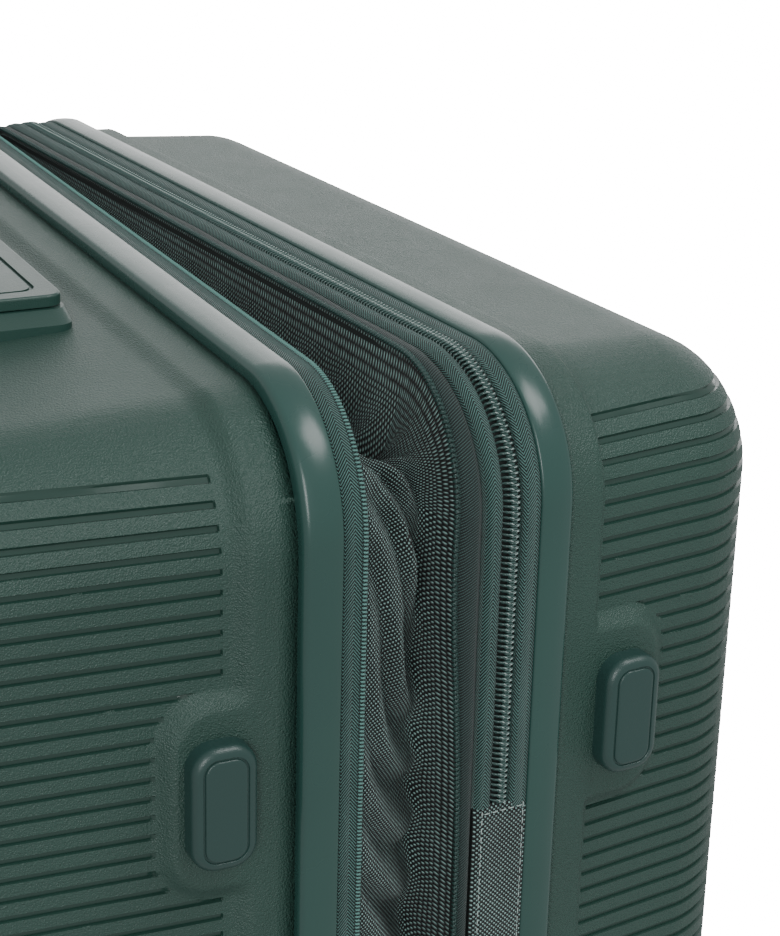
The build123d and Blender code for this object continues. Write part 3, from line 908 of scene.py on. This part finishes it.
@dataclass
class Tape:
    """A strip of zip tape or binding that runs right round the case."""

    case: Case
    side: Side
    rows: list[tuple[float, float]]
    gap: tuple[float, float] | None = None
    pull: float = 0.0

    def build(self, name: str, finish: bpy.types.Material,
              waviness: float = 0.0) -> bpy.types.Object:
        """Make the strip.

        Args:
            name: The piece's name.
            finish: Its cloth.
            waviness: How far its surface strays in and out.

        Returns:
            The strip.
        """
        profile = np.array(self.rows) * MM

        def wave(along: np.ndarray, row: int, y: np.ndarray, inset: np.ndarray) -> tuple:
            """Let the strip stray a little, most in its middle."""
            amount = waviness * math.sin(math.pi * (row + 0.5) / len(profile))
            bow = [noise.noise(Vector((a * 28, self.rows[0][0], 0.3 * row))) for a in along]
            lean = [noise.noise(Vector((a * 17, 5 + self.rows[0][0], 0))) for a in along]
            share = self.pull * max(0.0, 1 - row / (len(profile) - 1)) ** 1.3
            drawn = y + np.array(lean) * amount * 0.5 + pulled(self.case, along) * share
            return drawn, inset + np.array(bow) * amount

        straight = 160 if waviness else 40
        verts, faces, uv = sweep(self.case, self.side, profile, False, straight, 26,
                                 wave if waviness else None)
        if self.gap is not None:
            faces, uv = self.without_gap(verts, faces, uv)
        return piece(name, verts, faces, [finish], uv, TAPE_CREASE)

    def without_gap(self, verts: np.ndarray, faces: list, uv: np.ndarray) -> tuple[list, np.ndarray]:
        """Leave out the stretch of the hinge side between two heights above the case's middle."""
        low, high = (g + self.case.middle.z for g in self.gap)
        kept, kept_uv = [], []
        for number, face in enumerate(faces):
            x = max(verts[k][0] for k in face)
            z = sum(verts[k][2] for k in face) / len(face)
            if x < self.case.middle.x - self.case.half_width + 20 * MM and low < z < high:
                continue
            kept.append(face)
            kept_uv.extend(uv[4 * number:4 * number + 4])
        return kept, np.array(kept_uv)


@dataclass
class Chain:
    """Small parts repeated at an even pitch round the case, such as a zip's coil or its stitches."""

    case: Case
    side: Side
    pitch: float
    gap: tuple[float, float] | None = None
    phase: float = 0.0
    pull: float = 0.0

    def stations(self) -> list[tuple[np.ndarray, np.ndarray, np.ndarray, float]]:
        """Points on the outline at the pitch, each with its outward and forward way and its pull."""
        loop = rounded_loop(self.case.half_width, self.case.half_height, self.case.corner, 24, 60)
        along = np.append(loop.along, loop.length)
        spots = np.vstack([loop.points, loop.points[:1]])
        outs = np.vstack([loop.normals, loop.normals[:1]])
        count = int(loop.length / self.pitch)
        found = []
        for k in range(count):
            s = (k + self.phase) * loop.length / count
            spot = np.array([np.interp(s, along, spots[:, a]) for a in (0, 1)])
            out = np.array([np.interp(s, along, outs[:, a]) for a in (0, 1)])
            out /= np.linalg.norm(out)
            hinge_side = spot[0] < -self.case.half_width + 15 * MM
            if self.gap and hinge_side and self.gap[0] < spot[1] < self.gap[1]:
                continue
            forward = np.array([-out[1], out[0]])
            found.append((spot, out, forward, self.pull * float(pulled(self.case, s))))
        return found

    def build(self, name: str, template: tuple[np.ndarray, list],
              finish: bpy.types.Material) -> bpy.types.Object:
        """Repeat a small part round the case.

        Args:
            name: The piece's name.
            template: Its points as (along, y, inset) in metres, and its faces.
            finish: Its material.

        Returns:
            One piece that holds every repeat.
        """
        local, local_faces = template
        blocks, faces = [], []
        for spot, out, forward, shift in self.stations():
            base = len(blocks) * len(local)
            block = np.zeros((len(local), 3))
            flat = spot - np.outer(local[:, 2], out) + np.outer(local[:, 0], forward)
            block[:, 0], block[:, 1], block[:, 2] = flat[:, 0], local[:, 1] + shift, flat[:, 1]
            blocks.append(block)
            faces += [tuple(base + k for k in face) for face in local_faces]
        return piece(name, self.case.place(np.vstack(blocks), self.side), faces, [finish])


def rod(path: list[tuple[float, float, float]], radius: float,
        sides: int = 6) -> tuple[np.ndarray, list]:
    """A round-ended rod along a short path.

    Args:
        path: Points as (along, y, inset), in millimetres.
        radius: Its radius in millimetres.
        sides: Points round its section.

    Returns:
        Points in metres, and faces.
    """
    spots = [Vector(p) for p in path]
    verts, faces = [], []
    for k, spot in enumerate(spots):
        ahead = (spots[min(k + 1, len(spots) - 1)] - spots[max(k - 1, 0)]).normalized()
        first = ahead.orthogonal().normalized()
        second = ahead.cross(first)
        size = radius * (0.55 if k in (0, len(spots) - 1) else 1.0)
        for m in range(sides):
            a = 2 * math.pi * m / sides
            verts.append(tuple((spot + (first * math.cos(a) + second * math.sin(a)) * size) * MM))
    for k in range(len(spots) - 1):
        for m in range(sides):
            j = (m + 1) % sides
            faces.append((k * sides + m, k * sides + j, (k + 1) * sides + j, (k + 1) * sides + m))
    faces.append(tuple(range(sides)))
    faces.append(tuple(range((len(spots) - 1) * sides, len(spots) * sides)))
    return np.array(verts), faces


@dataclass
class Zips:
    """Both zips and the fabric band between the rims, as distances from the back rim."""

    case: Case
    finishes: Finishes
    patch: tuple[float, float]

    def build(self) -> None:
        """Make every strip and coil, and the near-black band cores that paint the shadow between the tapes, and set
        each on its body.
        """
        f, case = self.finishes, self.case
        strips = [
            ("expansion_tape_cloth", Side.BACK, "back_half", f.tape, 0.0, None, ["expansion_tape"],
             [(0.2, 5.2), (-0.3, 2.9), (-1.0, 2.2), (-3.5, 1.9), (-6.4, 1.9)]),
            ("expansion_tape_edge", Side.BACK, "back_half", f.twill, 0.0, None, ["expansion_coil"],
             [(-6.4, 1.95), (-6.9, 1.75), (-7.9, 1.8), (-8.6, 2.3), (-8.9, 3.2), (-8.7, 4.6)]),
            ("free_zip_tape", Side.LID, "band", f.twill, 0.5 * MM, None, ["band_strip"],
             [(-10.9, 3.6), (-11.0, 2.6), (-11.6, 1.7), (-13.2, 1.4), (-14.6, 1.7), (-15.6, 2.9),
              (-15.9, 5.4)]),
            ("main_tape_roll", Side.LID, "band", f.tape, 0.35 * MM, self.patch, ["main_tape_back"],
             [(-15.9, 5.4), (-16.1, 3.4), (-16.7, 1.9), (-17.8, 0.9), (-19.4, 0.6), (-21.1, 0.9),
              (-22.2, 1.8), (-22.7, 3.2)]),
            ("main_tape_flat", Side.LID, "lid", f.tape, 0.0, self.patch, ["main_tape_front"],
             [(-29.2, 3.4), (-29.5, 2.0), (-30.4, 1.4), (-33.0, 1.1), (-35.2, 1.2), (-36.2, 1.7),
              (-36.3, 3.0)]),
            # The two band cores take the near-black seam finish: painted shadow deep between the zip tapes.
            ("band_core_shadow_back", Side.LID, "band", f.seam, 0.0, None, [],
             [(-11.4, 6.6), (-11.8, 5.2), (-17.2, 5.2), (-21.8, 4.6), (-23.0, 2.9), (-26.2, 2.9),
              (-26.2, 6.6)]),
            ("band_core_shadow_lid", Side.LID, "lid", f.seam, 0.0, None, [],
             [(-26.6, 6.6), (-26.6, 2.9), (-29.4, 2.9), (-30.4, 4.6), (-36.2, 5.2), (-36.2, 6.6)]),
        ]
        for name, side, body, cloth, waviness, gap, nodes, rows in strips:
            pull = float(name == "free_zip_tape")
            obj = Tape(case, side, rows, gap, pull).build(name, cloth, waviness)
            seat(obj, body, "tape", *nodes)
        self.build_coils()

    def build_coils(self) -> None:
        """Make the coils of both zips, their stitches and the ribbed edge."""
        f, case = self.finishes, self.case
        arch = [(0.0, -22.8, 2.6), (0.0, -23.2, 1.5), (0.0, -24.4, 0.9), (0.0, -26.6, 0.9),
                (0.0, -27.3, 1.4)]
        mirror = [(a, -52.0 - y, c) for a, y, c in arch]
        parts = [
            ("free_zip_coil", Side.LID, "band", f.coil, 1.62, None, 0.0, ["free_coil"],
             rod([(0.0, -11.4, 2.9), (0.0, -10.9, 1.5), (0.0, -9.9, 1.2), (0.0, -9.5, 2.4)], 0.64)),
            ("expansion_ribs", Side.BACK, "back_half", f.tape, 1.3, None, 0.0, [],
             rod([(0.0, -6.6, 2.1), (0.1, -7.0, 1.6), (0.25, -8.0, 1.6), (0.3, -8.7, 2.4)], 0.34)),
            ("main_coil_band_half", Side.LID, "band", f.coil, 1.9, self.patch, 0.0, ["main_coil_back"],
             rod(arch, 0.5)),
            ("main_coil_lid_half", Side.LID, "lid", f.coil, 1.9, self.patch, 0.5, ["main_coil_front"],
             rod(mirror, 0.5)),
            ("main_stitch_band", Side.LID, "band", f.thread, 1.9, self.patch, 0.0, [],
             rod([(-0.3, -24.3, 1.0), (0.0, -24.8, 0.5), (0.5, -25.7, 0.5)], 0.2, 5)),
            ("main_stitch_lid", Side.LID, "lid", f.thread, 1.9, self.patch, 0.5, [],
             rod([(0.3, -26.4, 0.5), (0.0, -27.2, 0.5), (-0.4, -27.7, 1.0)], 0.2, 5)),
        ]
        for name, side, body, finish, pitch, gap, phase, nodes, template in parts:
            obj = Chain(case, side, pitch * MM, gap, phase, float(name == "free_zip_coil")).build(
                name, template, finish)
            seat(obj, body, "coil", *nodes)


# ---------------------------------------------------------------- gusset and hinge patch
@dataclass
class Gusset:
    """The ballistic nylon that spans the expansion gap, slack where the gap is small."""

    case: Case
    cloth_width: float = 52 * MM
    rows: int = 18

    def build(self, name: str, finish: bpy.types.Material) -> bpy.types.Object:
        """Make the gusset.

        Args:
            name: The piece's name.
            finish: Its cloth.

        Returns:
            The cloth, not yet on a body.
        """
        loop = rounded_loop(self.case.half_width, self.case.half_height, self.case.corner, 160, 30)
        count = len(loop.points)
        near = loop.points - loop.normals * 3.6 * MM
        start = self.case.place(np.column_stack([near[:, 0], np.full(count, -8.2 * MM),
                                                 near[:, 1]]), Side.BACK)
        far = loop.points - loop.normals * 4.2 * MM
        drawn = -12.2 * MM + pulled(self.case, loop.along)
        end = self.case.place(np.column_stack([far[:, 0], drawn, far[:, 1]]), Side.LID)
        inward = -np.column_stack([loop.normals[:, 0], np.zeros(count), loop.normals[:, 1]])
        gap = np.linalg.norm(end - start, axis=1)
        level = smooth(np.abs(loop.normals[:, 1]), 0.45, 0.95)
        upper = level * (loop.normals[:, 1] > 0)
        room = np.clip(gap / (34 * MM), 0.15, 1.1)
        lump = np.exp(-((loop.along - self.case.turn_end() - 14 * MM) / (24 * MM)) ** 2)
        hollow = np.exp(-((loop.along - self.case.turn_end() + 75 * MM) / (40 * MM)) ** 2)
        verts = np.zeros((count, self.rows + 1, 3))
        for k in range(self.rows + 1):
            v = k / self.rows
            side = (v / 0.8) ** 1.5 if v < 0.8 else math.cos((v - 0.8) / 0.2 * math.pi / 2) ** 0.7
            top = math.sin(math.pi * v) ** 0.55 if 0 < v < 1 else 0.0
            fold = np.array([self.fold(s, v) for s in loop.along])
            hold = math.sin(math.pi * min(v * 1.1, 1.0)) ** 0.6 if 0 < v < 0.9 else 0.0
            depth = (1 - level) * side * 21 * MM * room
            depth = depth + level * top * 36 * MM * room + fold * hold * room
            swell = math.sin(math.pi * min(1.0, v * 1.12)) ** 1.5
            depth += (hollow * 7 - lump * (1 - upper) * 10) * MM * swell
            verts[:, k] = start + (end - start) * v + inward * np.clip(depth, -1.0 * MM, None)[:, None]
        faces, uv = [], []
        along = np.append(loop.along, loop.length)
        for i in range(count):
            j = (i + 1) % count
            for k in range(self.rows):
                w = self.rows + 1
                faces.append((i * w + k, j * w + k, j * w + k + 1, i * w + k + 1))
                a, b = self.cloth_width * k / self.rows, self.cloth_width * (k + 1) / self.rows
                uv.extend([(along[i], a), (along[i + 1], a), (along[i + 1], b), (along[i], b)])
        return piece(name, verts.reshape(-1, 3), faces, [finish], np.array(uv), None)

    def fold(self, along: float, across: float) -> float:
        """How far the wrinkles push the cloth in at one spot."""
        warp = noise.noise(Vector((along * 9, across * 0.8, 2.0)))
        phase = (along - across * 40 * MM) / (27 * MM) + warp * 1.6
        ridge = math.sin(2 * math.pi * phase)
        fine = noise.noise(Vector(((along - across * 30 * MM) * 70, across * 3.0, 7.0)))
        broad = noise.noise(Vector((along * 20, across * 1.5, 4.0)))
        return (ridge * abs(ridge) ** 0.3 * 4.6 + fine * 1.8 + broad * 5.5) * MM


@dataclass
class HingePatch:
    """The nylon that joins the two halves on the hinge side, turned under at every edge."""

    case: Case
    low: float
    high: float
    near: float = -16.2 * MM
    far: float = -37.2 * MM
    rows: int = 26
    columns: int = 220

    def build(self, name: str, finish: bpy.types.Material) -> bpy.types.Object:
        """Make the patch, not yet on its bodies."""
        verts, faces, uv = [], [], []
        for i in range(self.columns + 1):
            z = self.low + (self.high - self.low) * i / self.columns
            for k in range(self.rows + 1):
                v = k / self.rows
                y = self.near + (self.far - self.near) * v
                edge = min(v, 1 - v) * (self.near - self.far)
                tuck = 1.6 * MM * math.exp(-edge / (0.9 * MM))
                seam = 0.35 * MM * math.exp(-((edge - 2.6 * MM) / (0.5 * MM)) ** 2)
                end = min(z - self.low, self.high - z)
                tuck += 1.2 * MM * math.exp(-max(end, 0.0) / (1.2 * MM))
                seam += 0.35 * MM * math.exp(-((end - 3.0 * MM) / (0.5 * MM)) ** 2)
                swell = noise.noise(Vector((z * 22, v * 1.5, 3.0))) * 0.8 * MM * math.sin(math.pi * v)
                verts.append((-self.case.half_width + 0.7 * MM + tuck + seam - swell, y, z))
        w = self.rows + 1
        dz, dy = (self.high - self.low) / self.columns, (self.near - self.far) / self.rows
        for i in range(self.columns):
            for k in range(self.rows):
                faces.append((i * w + k, i * w + k + 1, (i + 1) * w + k + 1, (i + 1) * w + k))
                uv.extend([(i * dz, k * dy), (i * dz, (k + 1) * dy), ((i + 1) * dz, (k + 1) * dy),
                           ((i + 1) * dz, k * dy)])
        return piece(name, self.case.place(np.array(verts), Side.LID), faces, [finish], np.array(uv))

    def stitches(self, name: str, finish: bpy.types.Material) -> bpy.types.Object:
        """Make the stitches that hold the patch down along its long edges and its two ends."""
        local, local_faces = rod([(-1.1, 0, 0.25), (-0.7, 0, -0.12), (0.7, 0, -0.12),
                                  (1.1, 0, 0.25)], 0.2, 5)
        verts, faces = [], []

        def add(y: float, z: float, upright: bool) -> None:
            """Add one stitch."""
            base = len(verts)
            for a, b, c in local:
                step = (b, a) if upright else (a, b)
                verts.append((-self.case.half_width + 0.95 * MM + c, y + step[0], z + step[1]))
            faces.extend(tuple(base + k for k in f) for f in local_faces)

        for y in (self.near - 2.6 * MM, self.far + 2.6 * MM):
            for z in np.arange(self.low + 3 * MM, self.high - 2 * MM, 3.1 * MM):
                add(y, z, True)
        for z in (self.low + 3 * MM, self.high - 3 * MM):
            for y in np.arange(self.far + 4 * MM, self.near - 3 * MM, 3.1 * MM):
                add(y, z, False)
        return piece(name, self.case.place(np.array(verts), Side.LID), faces, [finish])


# ---------------------------------------------------------------- inside
@dataclass
class Tray:
    """A cloth lining inside one half: sides, rounded floor edge and floor, slightly slack."""

    case: Case
    side: Side
    low: tuple[float, float]
    high: tuple[float, float]
    mouth: float
    floor: float
    corner: float = 44 * MM
    fillet: float = 20 * MM

    def build(self, name: str, finish: bpy.types.Material) -> bpy.types.Object:
        """Make the lining; its box is given in x and height above the case's middle."""
        cx, cz = (self.low[0] + self.high[0]) / 2, (self.low[1] + self.high[1]) / 2
        hw, hh = (self.high[0] - self.low[0]) / 2, (self.high[1] - self.low[1]) / 2
        sign = 1 if self.floor > self.mouth else -1
        depth = abs(self.floor - self.mouth)
        rows = [(d, 0.0) for d in np.linspace(0, depth - self.fillet, 10)]
        rows += [(depth - self.fillet + self.fillet * math.sin(a), self.fillet * (1 - math.cos(a)))
                 for a in np.linspace(0, math.pi / 2, 7)[1:]]
        rows += [(depth, self.fillet + s)
                 for s in np.linspace(0, self.corner - self.fillet - 2 * MM, 4)[1:]]
        verts, faces = [], []
        first = None
        for d, inset in rows:
            loop = rounded_loop(hw - inset, hh - inset, max(self.corner - inset, 2 * MM), 60, 12)
            start = len(verts)
            for (x, z), out, s in zip(loop.points, loop.normals, loop.along):
                slack = noise.noise(Vector((s * 14, d * 30, 1.0))) * 1.6 * MM * min(1, d / (15 * MM))
                verts.append((cx + x - out[0] * abs(slack),
                              self.mouth + sign * (d - abs(slack) * (inset > 0)),
                              cz + z - out[1] * abs(slack)))
            count = len(loop.points)
            if first is not None:
                faces += ring_faces(count, first, start)
            first = start
        faces.append(tuple(range(first, first + count)))
        uv = []
        for face in faces:
            for k in face:
                x, y, z = verts[k]
                uv.append((x + y, z + y))
        placed = self.case.place(np.array(verts), self.side)
        return piece(name, placed, faces, [finish], np.array(uv), LINING_CREASE)


@dataclass
class Panel:
    """A flat cloth panel with rounded corners, slightly slack."""

    case: Case
    side: Side
    half_width: float
    half_height: float
    y: float
    corner: float

    def build(self, name: str, finish: bpy.types.Material) -> bpy.types.Object:
        """Make the panel as one slack sheet."""
        rows, verts, faces, uv = 14, [], [], []
        first = None
        for k in range(rows):
            inset = self.corner * 0.95 * k / (rows - 1)
            loop = rounded_loop(self.half_width - inset, self.half_height - inset,
                                max(self.corner - inset, 1 * MM), 60, 10)
            start = len(verts)
            for x, z in loop.points:
                wave = noise.noise(Vector((x * 9, z * 9, 4.0))) * 0.9 * MM * min(1, k / 4)
                verts.append((x, self.y + wave, z))
            count = len(loop.points)
            if first is not None:
                faces += ring_faces(count, first, start)
            first = start
        faces.append(tuple(range(first, first + count)))
        for face in faces:
            uv.extend((verts[m][0], verts[m][2]) for m in face)
        placed = self.case.place(np.array(verts), self.side)
        return piece(name, placed, faces, [finish], np.array(uv), LINING_CREASE)


@dataclass
class Band:
    """A flat woven strip along a straight run, with rounded selvedges."""

    start: Vector
    end: Vector
    face: Vector
    width: float = 25 * MM
    thickness: float = 1.3 * MM

    def build(self, name: str, finish: bpy.types.Material) -> bpy.types.Object:
        """Make the strip."""
        run = self.end - self.start
        ahead = run.normalized()
        across = ahead.cross(self.face).normalized()
        steps, verts, faces, uv = 60, [], [], []
        section = [(-0.5, 0.2), (-0.47, 0.5), (0.47, 0.5), (0.5, 0.2), (0.5, -0.2), (0.47, -0.5),
                   (-0.47, -0.5), (-0.5, -0.2)]
        for i in range(steps + 1):
            spot = self.start + run * (i / steps)
            for a, b in section:
                verts.append(tuple(spot + across * a * self.width + self.face * b * self.thickness))
        n = len(section)
        for i in range(steps):
            for k in range(n):
                m = (k + 1) % n
                faces.append((i * n + k, (i + 1) * n + k, (i + 1) * n + m, i * n + m))
                s, t = run.length * i / steps, run.length * (i + 1) / steps
                low, high = k * 3 * MM, (k + 1) * 3 * MM
                uv.extend([(s, low), (t, low), (t, high), (s, high)])
        faces += [tuple(range(n)), tuple(range(steps * n, steps * n + n))]
        uv += [(0, 0)] * (2 * n)
        obj = piece(name, verts, faces, [finish], np.array(uv))
        tidy_normals(obj, MOULDING_CREASE)
        return obj


# ---------------------------------------------------------------- room
@dataclass(frozen=True)
class Room:
    """The pale floor, the soft lights and the camera."""

    case: Case
    lens: float = 84.71
    yaw: float = math.radians(25.88)
    pitch: float = math.radians(20.58)
    roll: float = math.radians(1.56)
    stand: tuple = (-0.773, 0.252, 0.207)

    def camera(self) -> bpy.types.Object:
        """Place the camera beside the hinge side, looking down along the row of zips."""
        cy, sy = math.cos(self.yaw), math.sin(self.yaw)
        cp, sp = math.cos(self.pitch), math.sin(self.pitch)
        forward = Vector((cy * cp, -sy * cp, -sp))
        right = Vector((-sy, -cy, 0))
        up = right.cross(forward)
        c, s = math.cos(self.roll), math.sin(self.roll)
        right, up = right * c + up * s, up * c - right * s
        data = bpy.data.cameras.new("camera")
        data.lens = self.lens
        data.clip_end = 30
        camera = bpy.data.objects.new("camera", data)
        spot = self.case.middle + Vector(self.stand) + Vector((0, 0, self.case.half_height))
        camera.matrix_world = Matrix((right, up, -forward)).transposed().to_4x4()
        camera.matrix_world.translation = spot
        bpy.context.scene.collection.objects.link(camera)
        bpy.context.scene.camera = camera
        return camera

    def light(self, name: str, spot: tuple, aim: tuple, size: tuple, power: float) -> None:
        """Hang one soft rectangular light."""
        data = bpy.data.lights.new(name, "AREA")
        data.shape = "RECTANGLE"
        data.size, data.size_y = size
        data.energy = power
        lamp = bpy.data.objects.new(name, data)
        lamp.visible_camera = False
        lamp.location = spot
        lamp.rotation_euler = (Vector(aim) - Vector(spot)).to_track_quat("-Z", "Y").to_euler()
        bpy.context.scene.collection.objects.link(lamp)

    def build(self) -> None:
        """Lay the floor, light the room and place the camera."""
        self.camera()
        aim = tuple(self.case.middle)
        self.light("overhead", (-0.95, -0.9, 2.5), aim, (1.0, 1.0), 24)
        self.light("far_wall", (3.4, -1.9, 1.3), aim, (4.5, 2.2), 52)
        self.light("window", (-2.6, 1.4, 1.6), aim, (0.9, 1.6), 42)
        world = bpy.data.worlds.new("white_room")
        world.use_nodes = True
        tree = world.node_tree
        back = tree.nodes["Background"]
        back.inputs["Color"].default_value = (1, 1, 1, 1)
        back.inputs["Strength"].default_value = ROOM_LIGHT
        bright = tree.nodes.new("ShaderNodeBackground")
        bright.inputs["Color"].default_value = (1, 1, 1, 1)
        bright.inputs["Strength"].default_value = BACKDROP_LIGHT
        path, mix = tree.nodes.new("ShaderNodeLightPath"), tree.nodes.new("ShaderNodeMixShader")
        tree.links.new(path.outputs["Is Camera Ray"], mix.inputs["Fac"])
        tree.links.new(back.outputs["Background"], mix.inputs[1])
        tree.links.new(bright.outputs["Background"], mix.inputs[2])
        tree.links.new(mix.outputs["Shader"], tree.nodes["World Output"].inputs["Surface"])
        bpy.context.scene.world = world
        n = Nodes("pale_floor")
        n.link(n.ramp(n.noise(n.place(), 3.0), [(0.2, (0.86, 0.86, 0.86)), (0.8, (0.9, 0.9, 0.9))]),
               n.shader.inputs["Base Color"])
        n.shader.inputs["Roughness"].default_value = 0.7
        n.shader.inputs["Emission Color"].default_value = (1, 1, 1, 1)
        n.shader.inputs["Emission Strength"].default_value = FLOOR_GLOW
        low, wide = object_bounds()[0].z, PALE_FLOOR_HALF
        spots = [(x, y, low) for x, y in ((-wide, -wide), (wide, -wide), (wide, wide), (-wide, wide))]
        floor = piece("floor", spots, [(0, 1, 2, 3)], [n.material])
        floor.visible_diffuse = floor.visible_glossy = False
        floor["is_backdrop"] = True


# ---------------------------------------------------------------- the whole suitcase
class Suitcase:
    """Builds the suitcase's pieces in order and sets each on its body, but for the gusset, the hinge patch and its
    stitches.
    """

    patch = (-159.5 * MM, 159.5 * MM)
    feet = (-182 * MM, 180.2 * MM)

    def __init__(self, frame: dict) -> None:
        """Read the case from the frame and build the finishes."""
        self.frame = frame
        self.case = Case.from_frame(frame)
        self.finishes = Finishes()

    def local_box(self, node: str) -> tuple[Vector, Vector]:
        """The box of a back-half node, from the case's middle."""
        low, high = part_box(node)
        return Vector(low) - self.case.middle, Vector(high) - self.case.middle

    def shells(self) -> None:
        """Make both shells with openings for the handles, the cup, the lock and the wheel housings."""
        f, case = self.finishes, self.case
        start, trim = BACK_RIM_WIDTH, OPENING_TRIM
        cutouts = []
        for node in ("carry_handle_base", "trolley_cup"):
            low, high = self.local_box(node)
            cutouts.append(((low.x + trim, low.y + trim - start, 0.2),
                            (high.x - trim, high.y - trim - start, 9.0)))
        low, high = self.local_box("side_handle_base")
        cutouts.append(((0.15, low.y + trim - start, low.z + trim),
                        (9.0, high.y - trim - start, high.z - trim)))
        for end in ("hinge", "open"):
            low, high = self.local_box(f"back_{end}_side_housing")
            cutouts.append(((low.x + trim, low.y + trim - start, -9.0),
                            (high.x - trim, high.y - trim - start, high.z - 2 * MM)))
        back = Shell(case, Side.BACK, start, BACK_DEPTH, 13 * MM, 8 * MM, 40.6 * MM, cutouts)
        seat(back.build("back_shell_skin", f.shell, f.groove), "back_half", "shell", "back_shell")
        lid_cuts = []
        for x in (-176 * MM, 176 * MM):
            lid_cuts.append(((x - 27 * MM, 49.6 * MM - 27 * MM, -9.0),
                             (x + 27 * MM, 49.6 * MM + 27 * MM, -287 * MM)))
        lid_cuts.append(((0.15, 4.5 * MM, -33 * MM), (9.0, 23.5 * MM, 33 * MM)))
        lid = Shell(case, Side.LID, LID_START, LID_DEPTH, 14 * MM, 2.6 * MM, 42 * MM, lid_cuts,
                    groove_start=17.4 * MM)
        seat(lid.build("lid_shell_skin", f.shell, f.groove), "lid", "shell", "front_shell")

    def frames_and_feet(self) -> None:
        """Make both rims and the four side feet."""
        f, case = self.finishes, self.case
        seat(Rim(case, Side.BACK, 0.0, BACK_RIM_WIDTH).build("back_rim_moulding", f.rim), "back_half", "rim",
                 "back_rim")
        seat(Rim(case, Side.LID, LID_START, LID_RIM_WIDTH).build("lid_rim_moulding", f.rim), "lid", "rim",
                 "front_rim")
        seat(SideFoot(case, Side.BACK, 38.3 * MM).build("back_side_foot_pads", list(self.feet), f.foot),
                 "back_half", "foot", "back_side_feet")
        seat(SideFoot(case, Side.LID, -75.6 * MM).build("lid_side_foot_pads", list(self.feet), f.foot),
                 "lid", "foot", "front_side_feet")

    def cloth(self) -> None:
        """Make the gusset, the hinge patch, the linings and the divider."""
        f, case = self.finishes, self.case
        gusset = Gusset(case).build("gusset_cloth", f.ballistic)
        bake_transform(gusset)
        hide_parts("gusset")
        patch = HingePatch(case, *self.patch)
        cloth = patch.build("hinge_patch", f.ballistic)
        seam = patch.stitches("hinge_patch_stitches", f.thread)
        ends = [tuple(case.place(np.array([[-case.half_width, y, 0.0]]), Side.LID)[0])
                for y in (-24.5 * MM, -28.7 * MM)]
        for obj in (cloth, seam):
            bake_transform(obj)
        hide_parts("fabric_hinge")
        back = Tray(case, Side.BACK, (-205 * MM, -281 * MM), (189 * MM, 263 * MM), 4 * MM, 98 * MM)
        lining = seat(back.build("back_lining_cloth", f.lining), "back_half", "lining", "back_lining")
        front = Tray(case, Side.LID, (-199 * MM, -277 * MM), (199 * MM, 279 * MM), -42 * MM, -122.4 * MM)
        lining = seat(front.build("lid_lining_cloth", f.lining), "lid", "lining", "front_lining")
        panel = Panel(case, Side.LID, 203 * MM, 286 * MM, -40.7 * MM, 40 * MM)
        flap = seat(panel.build("divider_cloth", f.lining), "lid", "lining", "divider_panel")

    def straps(self) -> None:
        """Make the four webbing legs that run from the buckle to the corners of the back half."""
        middle = self.case.middle
        for label, x in (("hinge", -175 * MM), ("open", 155 * MM)):
            for level, z in (("upper", 200 * MM), ("lower", -200 * MM)):
                toward = Vector((x, 95.2 * MM, z))
                ahead = Vector((x, 0, z)).normalized() * 46 * MM
                start = Vector((ahead.x, 95.2 * MM, ahead.z))
                band = Band(middle + start, middle + toward, Vector((0, 1, 0)))
                strap = seat(band.build(f"packing_strap_{label}_{level}", self.finishes.webbing), "back_half",
                                 "strap", "packing_straps")

    def fittings(self) -> None:
        """Dress the CAD's own fittings."""
        f = self.finishes
        finishes = {"handle": f.handle, "metal": f.steel, "fork": f.black, "wheel": f.tread,
                    "slider": f.zinc, "lock": f.black, "dial": f.dial, "tube": f.tube,
                    "buckle": f.black}
        for name, node in self.frame["nodes"].items():
            for slot in node.material_slots:
                kind = slot.material.name.split(".")[0] if slot.material else ""
                if kind in finishes and not node.hide_render:
                    slot.material = finishes[kind]
            LOG.info("fitting %s dressed", name)

    def build(self) -> None:
        """Build everything."""
        self.shells()
        self.frames_and_feet()
        Zips(self.case, self.finishes, self.patch).build()
        self.cloth()
        self.straps()
        self.fittings()
        Room(self.case).build()


def main() -> None:
    """Build the suitcase round its frame."""
    logging.basicConfig(level=logging.INFO, format="%(name)s: %(message)s")
    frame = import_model()
    bpy.context.view_layer.update()
    Suitcase(frame).build()
    bpy.context.view_layer.update()


if __name__ == "__main__":
    main()
